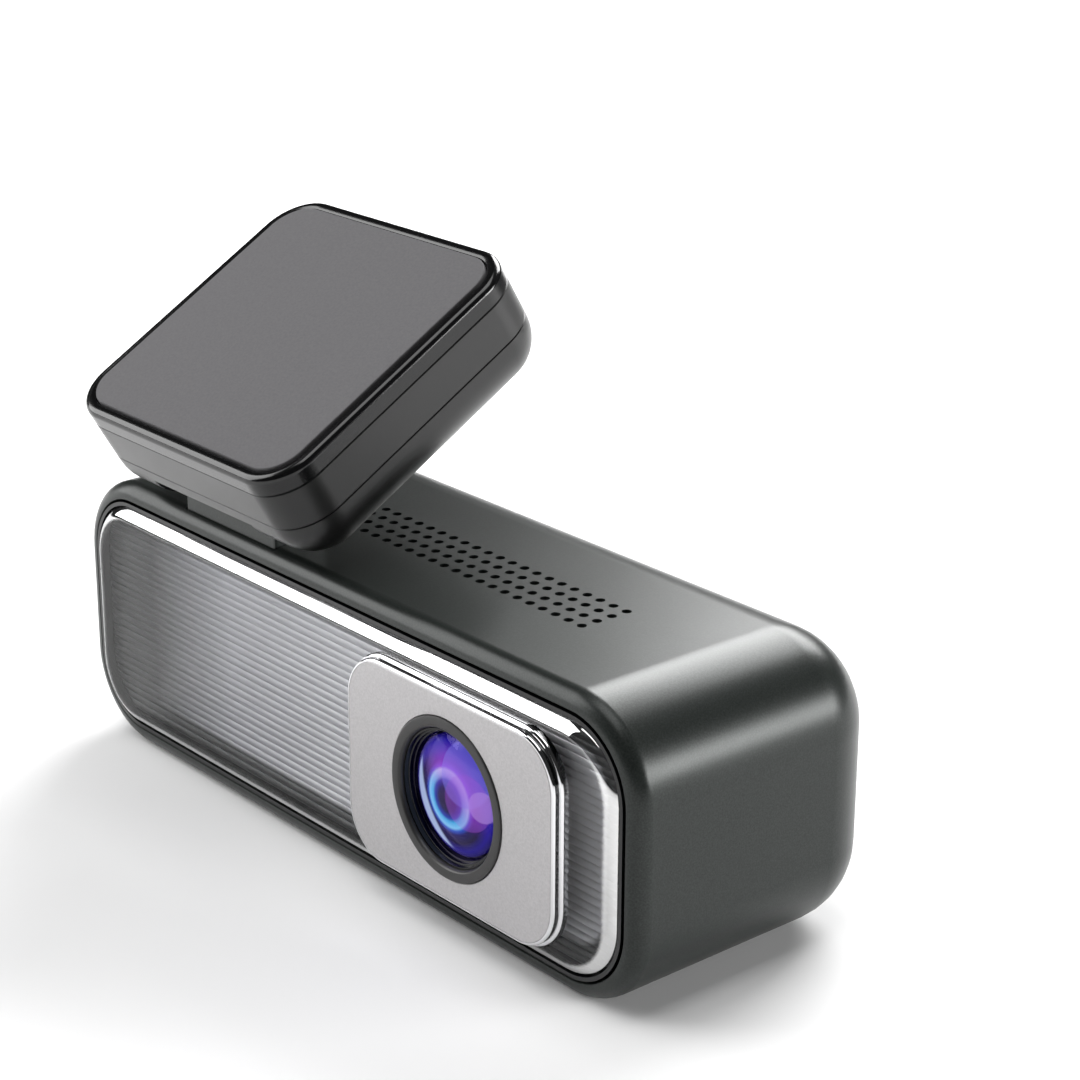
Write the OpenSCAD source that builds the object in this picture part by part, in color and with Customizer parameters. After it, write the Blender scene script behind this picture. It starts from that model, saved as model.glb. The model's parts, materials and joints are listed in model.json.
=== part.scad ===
// Dash camera: a long rounded camera body with a reeded front window and a raised lens plate,
// carried under a square glass mount that tilts on a cross bolt.
// X runs along the body with the lens towards +X, the lens looks along -Y, and Z is up.
// The origin is the centre of the body's flat underside. All sizes are in millimetres.

/* [Body] */
// Width of the camera body, end to end
body_w = 100; // [90:1:125]
// Height of the camera body
body_h = 33.4; // [33:0.1:42]
// Depth of the shell, from its front rim to its back
body_d = 35.6; // [34.6:0.1:44]
// Corner radius of the body, seen from the front
corner_r = 10.2; // [9.4:0.1:11]
// Radius of the rounded back edge
back_r = 8.6; // [6:0.1:9.2]
// Radius of the small front edge
front_r = 1.9; // [1:0.1:2.1]
// Wall thickness of the shell
shell_wall = 2.2; // [2.1:0.1:2.5]

/* [Vents] */
// Diameter of one vent hole
vent_d = 1.1; // [0.8:0.05:1.5]
// Spacing of the vent holes
vent_pitch = 2.07; // [1.8:0.01:2.4]
// Holes along the body
vent_columns = 28; // [8:1:30]
// Rows of holes
vent_rows = 4; // [1:1:6]
// From the front rim to the first row
vent_from_front = 12.1; // [11:0.1:16]

/* [Front] */
// How far the clear window stands proud of the rim
window_proud = 1.0; // [0.6:0.1:1.6]
// Thickness of the clear window
window_t = 2.0; // [1.8:0.1:2.6]
// Edge radius of the clear window
window_edge_r = 1.6; // [0.8:0.1:1.7]
// Width of the black bezel line that shows round the window
bezel_line = 0.45; // [0.3:0.05:1]
// Spacing of the reeds on the panel behind the window
reed_pitch = 0.91; // [0.8:0.01:1.5]
// Height of one reed
reed_h = 0.2; // [0.1:0.05:0.3]

/* [Lens] */
// From the end of the body to the lens axis
lens_from_end = 26.4; // [24:0.1:32]
// Width of the silver plate round the lens
plate_w = 33.1; // [28:0.1:36]
// Height of the silver plate round the lens
plate_h = 22.8; // [21:0.1:23.6]
// Corner radius of the silver plate
plate_r = 5.2; // [3:0.1:7]
// How far the silver plate stands proud of the window
plate_proud = 1.7; // [1.2:0.1:3]
// Width of the bright frame outside the silver plate
frame_flare = 0.7; // [0.5:0.05:1]
// Radius of the dark ring round the lens
ring_r = 9.0; // [8.6:0.1:10]
// Radius of the front glass
glass_r = 6.85; // [6:0.05:7]
// Radius of the front glass's domed face
dome_r = 11; // [9:0.5:20]

/* [Mount] */
// From the end of the body to the middle of the mount
mount_from_end = 29.7; // [25:0.1:40]
// Tilt of the mount from level as it is drawn
mount_tilt = 30.5; // [0:0.5:60]
// Width of the mount
mount_w = 41.5; // [38:0.1:50]
// Length of the mount up its slope
mount_l = 38.8; // [36:0.1:48]
// Thickness of the mount, without its adhesive
mount_t = 13.9; // [13:0.1:17]
// Corner radius of the mount
mount_r = 5.8; // [5.6:0.1:8]
// Radius of the mount's lower edge
mount_low_r = 5.5; // [3:0.1:5.5]
// Radius of the hinge bolt
bolt_r = 1.5; // [1.2:0.1:1.8]
// Height of the hinge axis above the body
hinge_lift = 7.0; // [6.9:0.1:9]
// Width of the hinge block
block_w = 17.8; // [14:0.1:18]
// Thickness of the hinge block
block_t = 7; // [6:0.1:7.4]

/* [Hidden] */
$fn = 48;

gap = 0.1;          // assembly clearance between parts that stay put
hair = 0.05;        // clearance that only keeps faces apart
running = 0.03;     // radial clearance of the hinge bolt in its bores
through = 1;        // how far a cut runs past a face

mid_z = body_h / 2;
y_rim = -body_d / 2;
y_back = body_d / 2;
y_inside = y_back - shell_wall;

// Outlines of the front, each as its distance in from the body's side
bezel_in = shell_wall + gap;
window_in = bezel_in + bezel_line + hair;
panel_in = window_in + 0.4;
hollow_in = panel_in + 1.3;

// Front stack, from the window back
y_window = y_rim - window_proud;
y_window_back = y_window + window_t;
panel_t = 1.0;
y_panel_back = y_window_back + hair + panel_t;
reed_r = (pow(reed_pitch / 2, 2) + pow(reed_h, 2)) / (2 * reed_h);
reed_valley = 0.04;
web_t = 1.5;
y_web = y_panel_back + 1.45;
y_bezel_back = y_web + web_t;
chassis_t = 1.2;
y_chassis = y_bezel_back + hair;
y_chassis_back = y_chassis + chassis_t;
lip_proud = 0.1;

// Screws
screw_r = 0.8;
head_r = 1.7;
head_t = 1.2;
pilot_r = screw_r + hair;
post_r = 2.2;
boss_r = 2.5;
boss_from_end = 7.7;
boss_rise = mid_z - 7.1;

// Lens stack
lens_x = body_w / 2 - lens_from_end;
y_plate = y_window - plate_proud;
plate_t = 0.8;
ring_t = 1.8;
ring_proud = 0.2;
ring_bore_r = glass_r + 0.75;
hood_r = ring_bore_r - hair;
barrel_r = glass_r + 0.65;
thread_r = 6;
y_barrel = y_plate + 1.9;
y_glass_seat = y_barrel + 1.7;
y_thread = y_barrel + 4.6;
barrel_l = 14.2;
y_barrel_back = y_barrel + barrel_l;
y_holder_back = y_barrel_back + 3.0;
holder_w = 17;
ear_w = 22;
tenon_w = plate_w - 2.9;
tenon_h = plate_h - 2.6;
tenon_r = plate_r - 1.1;
frame_bore_r = barrel_r + 0.4;
sensor_board_t = 1;
y_sensor_board_back = y_holder_back + sensor_board_t;
second_r = 5.4;
second_dome_r = 9;
rear_r = 4.45;
rear_dome_r = 8;

// Boards
board_t = 1.2;
y_board = y_sensor_board_back + 3.4;
y_board_back = y_board + board_t;
board_w = body_w - 21;
board_h = body_h - 2 * shell_wall - 4.4;
post_x = board_w / 2 - 2.8;
post_rise = board_h / 2 - 3.3;
switch_h = 3.5;
switch_x = 8;
button_travel = 0.4;
y_switch = y_board_back + switch_h;

// Flat cable between the sensor board and the main board
connector_w = 10;
connector_h = 1.1;
connector_l = 2.6;
connector_z = mid_z - 7;
connector_step = 6;
flex_w = connector_w - 2;
flex_t = 0.3;
flex_bite = 0.4;

// Processor and its heat sink
sink_x = lens_x - 25.6;
chip_t = 1.2;
chip_w = 14;
pad_t = 0.8;
sink_w = 22;
sink_h = board_h - 6;
sink_base = 2;
fin_t = 1.2;
fin_count = 7;
fin_step = (sink_w - fin_t) / (fin_count - 1);
y_sink_back = y_board - chip_t - pad_t;
y_sink_front = y_chassis_back + 2;

// Speaker under the vents, and the capacitors below it
speaker_x = sink_x - sink_w / 2 - 10.5;
speaker_y = y_rim + vent_from_front + 1.8;
speaker_top = body_h - shell_wall - 1.6;
speaker_w = 17;
speaker_d = 9.5;
speaker_h = 5;
speaker_r = 2;
speaker_rim = 1;
cone_depth = 1.2;
cap_r = 4;
cap_l = 16;
cap_rises = [-6.6, 1.8];

// Ports in the left end
x_end = -body_w / 2;
usb_w = 9;
usb_t = 3.2;
usb_l = 8.5;
usb_z = mid_z + 2.2;
tongue_w = 6.6;
tongue_t = 0.7;
jack_z = mid_z - 4.75;
jack_body = 4.6;
jack_bore_r = 1.3;
jack_sleeve_r = 2.2;
port_recess = 0.4;
card_w = 11;
card_l = 15;
card_t = 1;
card_socket_w = 14;
card_socket_t = 1.9;
y_card = y_board_back + 0.95;

// Rear panel and its keys
rear_w = body_w - 28;
rear_h = 13.4;
rear_corner_r = 3;
rear_t = 1.3;
rear_recess = 1.2;
button_r = 3.6;
button_proud = 0.5;
flange_t = 0.8;
flange_r = button_r + 0.9;
stem_r = 1.6;
guide_r = 1.2;
guide_x = 24;
mic_x = -24;
mic_r = 0.5;

// Mount
mount_x = -body_w / 2 + mount_from_end;
pin_y = y_rim + block_t / 2 + 1.1;
pin_z = body_h + hinge_lift;
mount_top = 9.8;
mount_bottom = mount_top - mount_t;
mount_shift = mount_l / 2 - 7.8;
plate_layer = 2.4;
frame_layer = 5;
frame_low = mount_top - plate_layer - frame_layer;
mount_wall = 1.8;
block_recess = 0.6;
pocket_w = block_w + 1.6;
pocket_r = block_t / 2 + 0.4;
ear_t = 3;
washer_t = 0.6;
bolt_head_t = 1.6;
nut_t = 2.2;
mount_screw_x = mount_w / 2 - 6.2;
mount_screw_rows = [bolt_r + 4.6, mount_shift + mount_l / 2 - 6.4];
mount_post_r = 2;
head_sink = 2.4;
film_t = 1.0;
film_margin = 1.65;
film_bed = 0.8;

// ---------- shared shapes ----------

// What a rounded corner of radius r leaves over
module corner_waste(r)
  difference() {
    square([r + 1, r + 1]);
    circle(r);
  }

// Half section of a block's edge: its far corners are rounded by low and high
module edge_section(r, len, low, high)
  difference() {
    square([r, len]);
    if (low > 0) translate([r - low, low]) rotate(-90) corner_waste(low);
    if (high > 0) translate([r - high, len - high]) corner_waste(high);
  }

// Block with upright corners of radius r, and its lower and upper edges rounded by low and high
module round_block(w, h, len, r, low = 0, high = 0) {
  translate([r - w / 2, r - h / 2, 0]) cube([w - 2 * r, h - 2 * r, len]);
  for (turn = [0, 180]) rotate(turn) {
    translate([r - w / 2, h / 2 - r, 0]) rotate([90, 0, 90])
      linear_extrude(w - 2 * r) edge_section(r, len, low, high);
    translate([w / 2 - r, h / 2 - r, 0]) rotate([90, 0, 0])
      linear_extrude(h - 2 * r) edge_section(r, len, low, high);
    translate([w / 2 - r, h / 2 - r, 0]) rotate_extrude(angle = 90) edge_section(r, len, low, high);
    translate([r - w / 2, h / 2 - r, 0]) rotate(90) rotate_extrude(angle = 90) edge_section(r, len, low, high);
  }
}

// Places children so that they rise from y towards the front, with their X and Y along X and Z
module facing(x, y, z) translate([x, y, z]) rotate([90, 0, 0]) children();

// Disc or bar along Y from y1 back to y2
module rod(x, y1, y2, z, r) facing(x, y2, z) cylinder(h = y2 - y1, r = r);

// Box given by its centre in X and Z and its span in Y
module slab(x, y1, y2, z, w, h) translate([x - w / 2, y1, z - h / 2]) cube([w, y2 - y1, h]);

// Rounded plate given in the same way
module plate(x, y1, y2, z, w, h, r) facing(x, y2, z) round_block(w, h, y2 - y1, r);

// Body outline brought in by inset, from y1 back to y2
module body_outline(inset, y1, y2, low = 0, high = 0)
  facing(0, y2, mid_z)
    round_block(body_w - 2 * inset, body_h - 2 * inset, y2 - y1, corner_r - inset, low, high);

// Children at the four front screws
module at_bosses()
  for (side = [-1, 1], rise = [-1, 1])
    translate([side * (body_w / 2 - boss_from_end), 0, mid_z + rise * boss_rise]) children();

// Children at the four chassis posts
module at_posts()
  for (side = [-1, 1], rise = [-1, 1])
    translate([side * post_x, 0, mid_z + rise * post_rise]) children();

// Children at the two screws that hold the lens holder
module at_lens_ears()
  for (side = [-1, 1]) translate([lens_x + side * (ear_w / 2 - 1.7), 0, mid_z]) children();

// Children in the mount's own frame: origin on the hinge axis, Y up the slope, Z towards the glass
module in_mount() translate([mount_x, pin_y, pin_z]) rotate([mount_tilt, 0, 0]) children();

// Mount outline brought in by inset, from low to high in the mount's frame
module mount_outline(inset, low, high, low_r = 0, high_r = 0)
  translate([0, mount_shift, low])
    round_block(mount_w - 2 * inset, mount_l - 2 * inset, high - low, mount_r - inset, low_r, high_r);

// Children at the mount's four screws, in its own frame
module at_mount_screws()
  for (turn = [0, 1], row = mount_screw_rows)
    mirror([turn, 0, 0]) translate([mount_screw_x, row, 0]) children();

// Round bar along X between x1 and x2, in the mount's frame or at the hinge axis
module cross_bar(x1, x2, r) translate([x1, 0, 0]) rotate([0, 90, 0]) cylinder(h = x2 - x1, r = r);

// Pan-head screw that points along +Y, with its head's underside at y
module screw(y, len, r = screw_r, head = head_r) {
  rod(0, y - head_t, y, 0, head);
  rod(0, y, y + len, 0, r);
}

// ---------- shell and its rear panel ----------

module vent_holes()
  for (i = [0 : vent_columns - 1], j = [0 : vent_rows - 1])
    translate([(i - (vent_columns - 1) / 2) * vent_pitch - 0.3,
               y_rim + vent_from_front + j * vent_pitch, body_h - shell_wall - through])
      cylinder(h = shell_wall + 2 * through, d = vent_d);

module port_openings() {
  for (slot = [[y_board - usb_t / 2, usb_z, usb_t, usb_w], [y_card, mid_z, card_t, card_w]])
    translate([x_end - through, slot[0], slot[1]]) rotate([0, 90, 0])
      round_block(slot[3] + 0.4, slot[2] + 0.4, shell_wall + 2 * through, slot[2] / 2 + 0.15);
  translate([x_end - through, y_board - jack_body / 2, jack_z]) rotate([0, 90, 0])
    cylinder(h = shell_wall + 2 * through, r = jack_sleeve_r + gap);
}

module rear_openings(from, extra) {
  for (side = [-1, 1]) rod(side * switch_x, from, y_back + through, mid_z, button_r + extra);
  rod(guide_x, from, y_back + through, mid_z, guide_r + hair);
  rod(mic_x, from, y_back + through, mid_z, mic_r);
}

module shell() color("#4a4d4b")
  difference() {
    union() {
      difference() {
        body_outline(0, y_rim, y_back, back_r, front_r);
        body_outline(shell_wall, y_rim - through, y_inside, back_r - shell_wall);
      }
      at_bosses() rod(0, y_bezel_back + hair, y_inside + hair, 0, boss_r);
    }
    at_bosses() rod(0, y_bezel_back, y_bezel_back + 11, 0, pilot_r);
    vent_holes();
    port_openings();
    plate(0, y_back - rear_recess, y_back + through, mid_z, rear_w, rear_h, rear_corner_r);
    rear_openings(y_inside - through, gap);
    translate([mount_x - block_w / 2 - gap, pin_y - block_t / 2 - gap, body_h - block_recess])
      cube([block_w + 2 * gap, block_t + 2 * gap, block_recess + through]);
    at_block_screws() cylinder(h = shell_wall + 2 * through, r = screw_r + gap);
  }

module rear_cover() color("#1c1d1d")
  difference() {
    plate(0, y_back - rear_recess, y_back - rear_recess + rear_t, mid_z,
          rear_w - 2 * gap, rear_h - 2 * gap, rear_corner_r - gap);
    rear_openings(y_inside - through, gap + hair);
  }

// A push button: a cap that shows, a flange that keeps it in, and a stem that reaches its switch
module push_button(x) {
  y_flange = y_inside - hair - flange_t;
  rod(x, y_flange, y_flange + flange_t, mid_z, flange_r);
  rod(x, y_flange + flange_t, y_back + button_proud, mid_z, button_r);
  rod(x, y_switch + button_travel + gap, y_flange, mid_z, stem_r);
}

module power_button() color("#3a3c3b") push_button(-switch_x);

module record_button() color("#8a2a24") push_button(switch_x);

module light_guide() color("#cfe4f0")
  rod(guide_x, y_board_back + 0.7, y_back - rear_recess + rear_t, mid_z, guide_r);

// ---------- front ----------

module front_bezel() color("#121314")
  difference() {
    body_outline(bezel_in, y_rim - lip_proud, y_bezel_back);
    body_outline(window_in - hair, y_rim - through, y_window_back);
    body_outline(panel_in - hair, y_rim, y_panel_back);
    body_outline(hollow_in, y_rim, y_web);
    at_bosses() rod(0, y_rim, y_web, 0, head_r + 0.3);
    at_bosses() rod(0, y_rim, y_bezel_back + through, 0, screw_r + gap);
    plate(lens_x, y_rim, y_bezel_back + through, mid_z, tenon_w - 3, tenon_h - 1, tenon_r);
  }

module front_window() color("#5b5d60", 0.4)
  difference() {
    body_outline(window_in, y_window, y_window_back, 0, window_edge_r);
    plate(lens_x, y_window - through, y_window_back + through, mid_z, tenon_w + gap, tenon_h + gap, tenon_r);
  }

// Half the length of the panel at a height above its middle
function panel_reach(rise) =
  let (r = corner_r - panel_in, over = rise - (body_h / 2 - panel_in - r))
  body_w / 2 - panel_in - r + (over > 0 ? sqrt(max(0, pow(r, 2) - pow(over, 2))) : r);

// Half-round reeds along the body, each standing on the panel's face
module reeds() {
  count = floor((body_h - 2 * panel_in) / reed_pitch);
  for (i = [0 : count - 1]) {
    rise = (i - (count - 1) / 2) * reed_pitch;
    reach = panel_reach(abs(rise) + reed_pitch / 2);
    translate([-reach, y_panel_back - panel_t, mid_z + rise]) rotate([90, 0, 90])
      linear_extrude(2 * reach) intersection() {
        translate([reed_r, 0]) circle(reed_r);
        translate([0, -reed_pitch]) square([reed_h - reed_valley / 2, 2 * reed_pitch]);
      }
  }
}

module reeded_panel() color("#8b8b90")
  difference() {
    union() {
      body_outline(panel_in, y_panel_back - panel_t + reed_h - reed_valley, y_panel_back);
      reeds();
    }
    plate(lens_x, y_window, y_panel_back + through, mid_z, tenon_w + gap, tenon_h + gap, tenon_r);
  }

module front_screws() color("#b9bcc0") at_bosses() screw(y_web, 9.5);

// ---------- lens ----------

module lens_frame() color("#d8dadd")
  difference() {
    union() {
      plate(lens_x, y_window - 0.9, y_window, mid_z,
            plate_w + 2 * frame_flare, plate_h + 2 * frame_flare, plate_r + frame_flare);
      facing(lens_x, y_window - 0.9, mid_z)
        round_block(plate_w + 0.8, plate_h + 0.8, plate_proud - 0.9, plate_r + 0.4, 0, 0.3);
      plate(lens_x, y_window, y_panel_back, mid_z, tenon_w, tenon_h, tenon_r);
    }
    plate(lens_x, y_plate - through, y_plate + plate_t, mid_z, plate_w + hair, plate_h + hair, plate_r);
    rod(lens_x, y_plate - through, y_plate + ring_t - ring_proud, mid_z, ring_r + hair);
    rod(lens_x, y_plate - through, y_panel_back + through, mid_z, frame_bore_r);
  }

module lens_plate() color("#b4b4b6")
  difference() {
    plate(lens_x, y_plate, y_plate + plate_t, mid_z, plate_w, plate_h, plate_r);
    rod(lens_x, y_plate - through, y_plate + plate_t + through, mid_z, ring_r + hair);
  }

module lens_ring() color("#2d2d2f")
  facing(lens_x, y_plate - ring_proud + ring_t, mid_z) rotate_extrude() polygon([
    [ring_bore_r, 0], [ring_r, 0], [ring_r, ring_t - 0.25], [ring_r - 0.25, ring_t],
    [ring_bore_r + 0.35, ring_t], [ring_bore_r, ring_t - 0.5]
  ]);

// Black funnel that steps down to the front glass
module lens_hood() color("#0c0c0d")
  facing(lens_x, y_barrel - hair, mid_z) rotate_extrude() polygon([
    [glass_r - 0.1, 0], [hood_r, 0], [hood_r, 1.5], [hood_r - 0.2, 1.5], [hood_r - 0.35, 0.9],
    [glass_r + 0.15, 0.8], [glass_r + 0.05, 0.4], [glass_r - 0.1, 0.35]
  ]);

module front_glass() color("#5b4bd0", 0.6)
  intersection() {
    rod(lens_x, y_plate - 2, y_glass_seat - hair, mid_z, glass_r);
    translate([lens_x, y_barrel + hair + sqrt(pow(dome_r, 2) - pow(glass_r, 2)), mid_z]) sphere(dome_r);
  }

module second_glass() color("#8fa8e8", 0.6)
  intersection() {
    rod(lens_x, y_glass_seat + 0.1, y_glass_seat + 2.4, mid_z, second_r);
    translate([lens_x, y_glass_seat + 0.2 + second_dome_r, mid_z]) sphere(second_dome_r);
  }

module aperture_ring() color("#0a0a0b")
  difference() {
    rod(lens_x, y_thread + 0.2, y_thread + 0.8, mid_z, rear_r);
    rod(lens_x, y_thread, y_thread + 1, mid_z, 1.9);
  }

module rear_glass() color("#9fd0c8", 0.6)
  for (start = [0.9, 5.4])
    intersection() {
      rod(lens_x, y_thread + start, y_thread + start + 2.2, mid_z, rear_r);
      translate([lens_x, y_thread + start + rear_dome_r, mid_z]) sphere(rear_dome_r);
    }

module glass_retainer() color("#161617")
  difference() {
    rod(lens_x, y_barrel_back - 0.8, y_barrel_back, mid_z, rear_r);
    rod(lens_x, y_barrel_back - 1.8, y_barrel_back + through, mid_z, rear_r - 1.1);
  }

module lens_barrel() color("#19191b")
  difference() {
    union() {
      rod(lens_x, y_barrel, y_thread, mid_z, barrel_r);
      rod(lens_x, y_thread, y_barrel_back, mid_z, thread_r);
    }
    rod(lens_x, y_barrel - through, y_glass_seat, mid_z, glass_r + hair);
    rod(lens_x, y_barrel, y_glass_seat + 2.5, mid_z, second_r + hair);
    rod(lens_x, y_barrel, y_barrel_back + through, mid_z, rear_r + hair);
  }

module lens_holder() color("#242426")
  difference() {
    union() {
      plate(lens_x, y_chassis_back, y_holder_back, mid_z, holder_w, holder_w, 1.5);
      slab(lens_x, y_chassis_back, y_holder_back, mid_z, ear_w, 5);
    }
    rod(lens_x, y_chassis, y_barrel_back + 0.2, mid_z, thread_r + hair);
    slab(lens_x, y_barrel_back + 0.1, y_holder_back + through, mid_z, 9.6, 9.6);
    at_lens_ears() rod(0, y_chassis, y_holder_back + through, 0, screw_r + gap);
  }

module lens_screws() color("#b9bcc0")
  at_lens_ears() mirror([0, 1, 0])
    screw(-y_sensor_board_back, y_sensor_board_back - y_chassis - hair, screw_r, 1.6);

module infrared_filter() color("#a8d8c8", 0.5)
  slab(lens_x, y_barrel_back + 0.6, y_barrel_back + 1.1, mid_z, 9.5, 9.5);

module image_sensor() color("#3f4a3a") slab(lens_x, y_holder_back - 1, y_holder_back, mid_z, 8, 6.6);

module sensor_board() color("#1f5a3a")
  difference() {
    slab(lens_x, y_holder_back, y_sensor_board_back, mid_z, ear_w - 0.6, 18);
    at_lens_ears() rod(0, y_holder_back - through, y_sensor_board_back + through, 0, screw_r + gap);
  }

module flex_connectors() color("#e8e4da") {
  slab(lens_x, y_sensor_board_back, y_sensor_board_back + connector_h, connector_z, connector_w, connector_l);
  slab(lens_x, y_board - connector_h, y_board, connector_z + connector_step, connector_w, connector_l);
}

// Flat cable that leaves the sensor board's connector and turns back to the main board's
module flex_cable() color("#d9b25a") {
  y1 = y_sensor_board_back + flex_bite;
  y2 = y_board - flex_bite - flex_t;
  low = connector_z + connector_l / 2;
  high = connector_z + connector_step - connector_l / 2;
  translate([lens_x - flex_w / 2, 0, 0]) rotate([90, 0, 90]) linear_extrude(flex_w) polygon([
    [y1, low], [y1 + flex_t, low], [y1 + flex_t, low + 0.9], [y2 + flex_t, high - 1.1],
    [y2 + flex_t, high], [y2, high], [y2, high - 0.9], [y1, low + 1.1]
  ]);
}

// ---------- chassis, boards and what is on them ----------

module chassis() color("#1a1b1c")
  difference() {
    union() {
      plate(0, y_chassis, y_chassis_back, mid_z, board_w - 3, board_h - 2, 3);
      at_posts() rod(0, y_chassis_back - hair, y_board - hair, 0, post_r);
    }
    rod(lens_x, y_chassis - through, y_chassis_back + through, mid_z, barrel_r + 0.5);
    at_lens_ears() rod(0, y_chassis - through, y_chassis_back + through, 0, pilot_r);
    at_posts() rod(0, y_board - 8, y_board, 0, pilot_r);
    plate(-lens_x / 2, y_chassis - through, y_chassis_back + through, mid_z, board_w / 2, board_h - 10, 2);
  }

module board_screws() color("#b9bcc0") at_posts() mirror([0, 1, 0]) screw(-y_board_back, 6.5);

module main_board() color("#1f5a3a")
  difference() {
    union() {
      slab(0, y_board, y_board_back, mid_z, board_w, board_h);
      slab(x_end / 2 - board_w / 4 + 1.4, y_board, y_board_back, mid_z, (body_w - board_w) / 2 - 2, 13.2);
    }
    at_posts() rod(0, y_board - through, y_board_back + through, 0, screw_r + gap);
  }

module processor() color("#101113") slab(sink_x, y_board - chip_t, y_board, mid_z, chip_w, chip_w);

module memory_chip() color("#15171a") slab(sink_x - 15.5, y_board - 1, y_board, mid_z + 7, 7.5, 9);

module wireless_module() color("#b7bbbd") slab(sink_x + 17, y_board - 1.8, y_board, mid_z + 8.2, 9, 7);

module thermal_pad() color("#9fb4c8") slab(sink_x, y_sink_back, y_sink_back + pad_t, mid_z, chip_w, chip_w);

module heat_sink() color("#a9adb0") {
  slab(sink_x, y_sink_back - sink_base, y_sink_back, mid_z, sink_w, sink_h);
  for (i = [0 : fin_count - 1])
    slab(sink_x + (i - (fin_count - 1) / 2) * fin_step,
         y_sink_front, y_sink_back - sink_base + hair, mid_z, fin_t, sink_h);
}

module speaker() color("#27282a")
  translate([speaker_x, speaker_y, 0]) difference() {
    translate([0, 0, speaker_top - speaker_h]) round_block(speaker_w, speaker_d, speaker_h, speaker_r);
    translate([0, 0, speaker_top - cone_depth])
      round_block(speaker_w - 2 * speaker_rim, speaker_d - 2 * speaker_rim, cone_depth + through, 1.2);
  }

module speaker_cone() color("#6a6a66")
  translate([speaker_x, speaker_y, speaker_top - cone_depth])
    round_block(speaker_w - 2 * speaker_rim - 2 * gap, speaker_d - 2 * speaker_rim - 2 * gap, 0.5, 1.1);

module speaker_gasket() color("#0e0e0e")
  translate([speaker_x, speaker_y, speaker_top]) difference() {
    round_block(speaker_w, speaker_d, body_h - shell_wall - speaker_top - hair, speaker_r);
    translate([0, 0, -through]) round_block(speaker_w - 2 * speaker_rim, speaker_d - 2 * speaker_rim, 4, 1.2);
  }

module backup_capacitors() color("#2b3350")
  for (rise = cap_rises)
    translate([speaker_x - cap_l / 2 + 0.5, y_chassis_back + cap_r + 1, mid_z + rise]) rotate([0, 90, 0])
      cylinder(h = cap_l, r = cap_r);

module microphone() color("#c7c9c4") slab(mic_x, y_board_back, y_board_back + 1.1, mid_z, 4, 3);

module status_led() color("#f2f2e8") slab(guide_x, y_board_back, y_board_back + 0.6, mid_z, 1.6, 0.8);

module button_switches() color("#17181a")
  for (side = [-1, 1]) {
    slab(side * switch_x, y_board_back, y_switch - 1, mid_z, 6, 6);
    rod(side * switch_x, y_switch - 1, y_switch, mid_z, stem_r);
  }

// Round-ended bar of the power socket, larger by extra all across
module usb_shape(extra, len)
  rotate([0, 90, 0]) round_block(usb_w + extra, usb_t + extra, len, (usb_t + extra) / 2 - 0.02);

module usb_socket() color("#c3c6c9")
  translate([x_end + port_recess, y_board - usb_t / 2 - hair, usb_z]) difference() {
    usb_shape(0, usb_l);
    translate([-through, 0, 0]) usb_shape(-0.7, usb_l - 0.8 + through);
  }

module usb_tongue() color("#141414")
  translate([x_end + port_recess + 1, y_board - usb_t / 2 - hair - tongue_t / 2, usb_z - tongue_w / 2])
    cube([usb_l - 1.8, tongue_t, tongue_w]);

module rear_camera_jack() color("#1b1c1e")
  translate([x_end + port_recess, y_board - jack_body / 2, jack_z]) difference() {
    union() {
      rotate([0, 90, 0]) cylinder(h = 3, r = jack_sleeve_r);
      translate([2.4, -jack_body / 2, -jack_body / 2]) cube([9, jack_body, jack_body]);
    }
    translate([-through, 0, 0]) rotate([0, 90, 0]) cylinder(h = 10 + through, r = jack_bore_r);
  }

module card_socket() color("#b0b3b6")
  translate([x_end + shell_wall + 0.3, y_board_back, mid_z]) difference() {
    translate([0, 0, -card_socket_w / 2]) cube([card_l - 0.6, card_socket_t, card_socket_w]);
    translate([-through, y_card - y_board_back - card_t / 2 - gap, -card_w / 2 - gap])
      cube([card_l - 0.9 + through, card_t + 2 * gap, card_w + 2 * gap]);
  }

module memory_card() color("#20242c")
  translate([x_end + 0.5, y_card - card_t / 2, mid_z - card_w / 2]) difference() {
    cube([card_l, card_t, card_w]);
    translate([card_l - 2.5, -through, card_w - 1.2]) cube([4, card_t + 2 * through, 3]);
  }

// ---------- hinge ----------

module at_block_screws()
  for (side = [-1, 1])
    translate([mount_x + side * 5.6, pin_y + block_t / 2 - 1.2, body_h - shell_wall - through]) children();

module hinge_block() color("#3a3d3b")
  difference() {
    union() {
      translate([mount_x - block_w / 2, pin_y - block_t / 2, body_h - block_recess])
        cube([block_w, block_t, hinge_lift + block_recess]);
      translate([mount_x, pin_y, pin_z]) cross_bar(-block_w / 2, block_w / 2, block_t / 2);
    }
    translate([mount_x, pin_y, pin_z]) cross_bar(-block_w, block_w, bolt_r + running);
    at_block_screws() cylinder(h = shell_wall + 5 + through, r = pilot_r);
  }

module block_screws() color("#b9bcc0")
  at_block_screws() {
    translate([0, 0, through - head_t]) cylinder(h = head_t, r = head_r);
    translate([0, 0, through]) cylinder(h = shell_wall + 4, r = screw_r);
  }

module hinge_bolt() color("#c5c8cb")
  in_mount() {
    cross_bar(-pocket_w / 2 - ear_t - bolt_head_t, -pocket_w / 2 - ear_t, bolt_r + 0.6);
    cross_bar(-pocket_w / 2 - ear_t, pocket_w / 2 + ear_t + nut_t, bolt_r);
  }

module hinge_nut() color("#b3b6b9")
  in_mount() difference() {
    translate([pocket_w / 2 + ear_t, 0, 0]) rotate([0, 90, 0])
      cylinder(h = nut_t - 0.2, r = bolt_r + 1.6, $fn = 6);
    cross_bar(pocket_w / 2, pocket_w, bolt_r + 0.02);
  }

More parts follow.
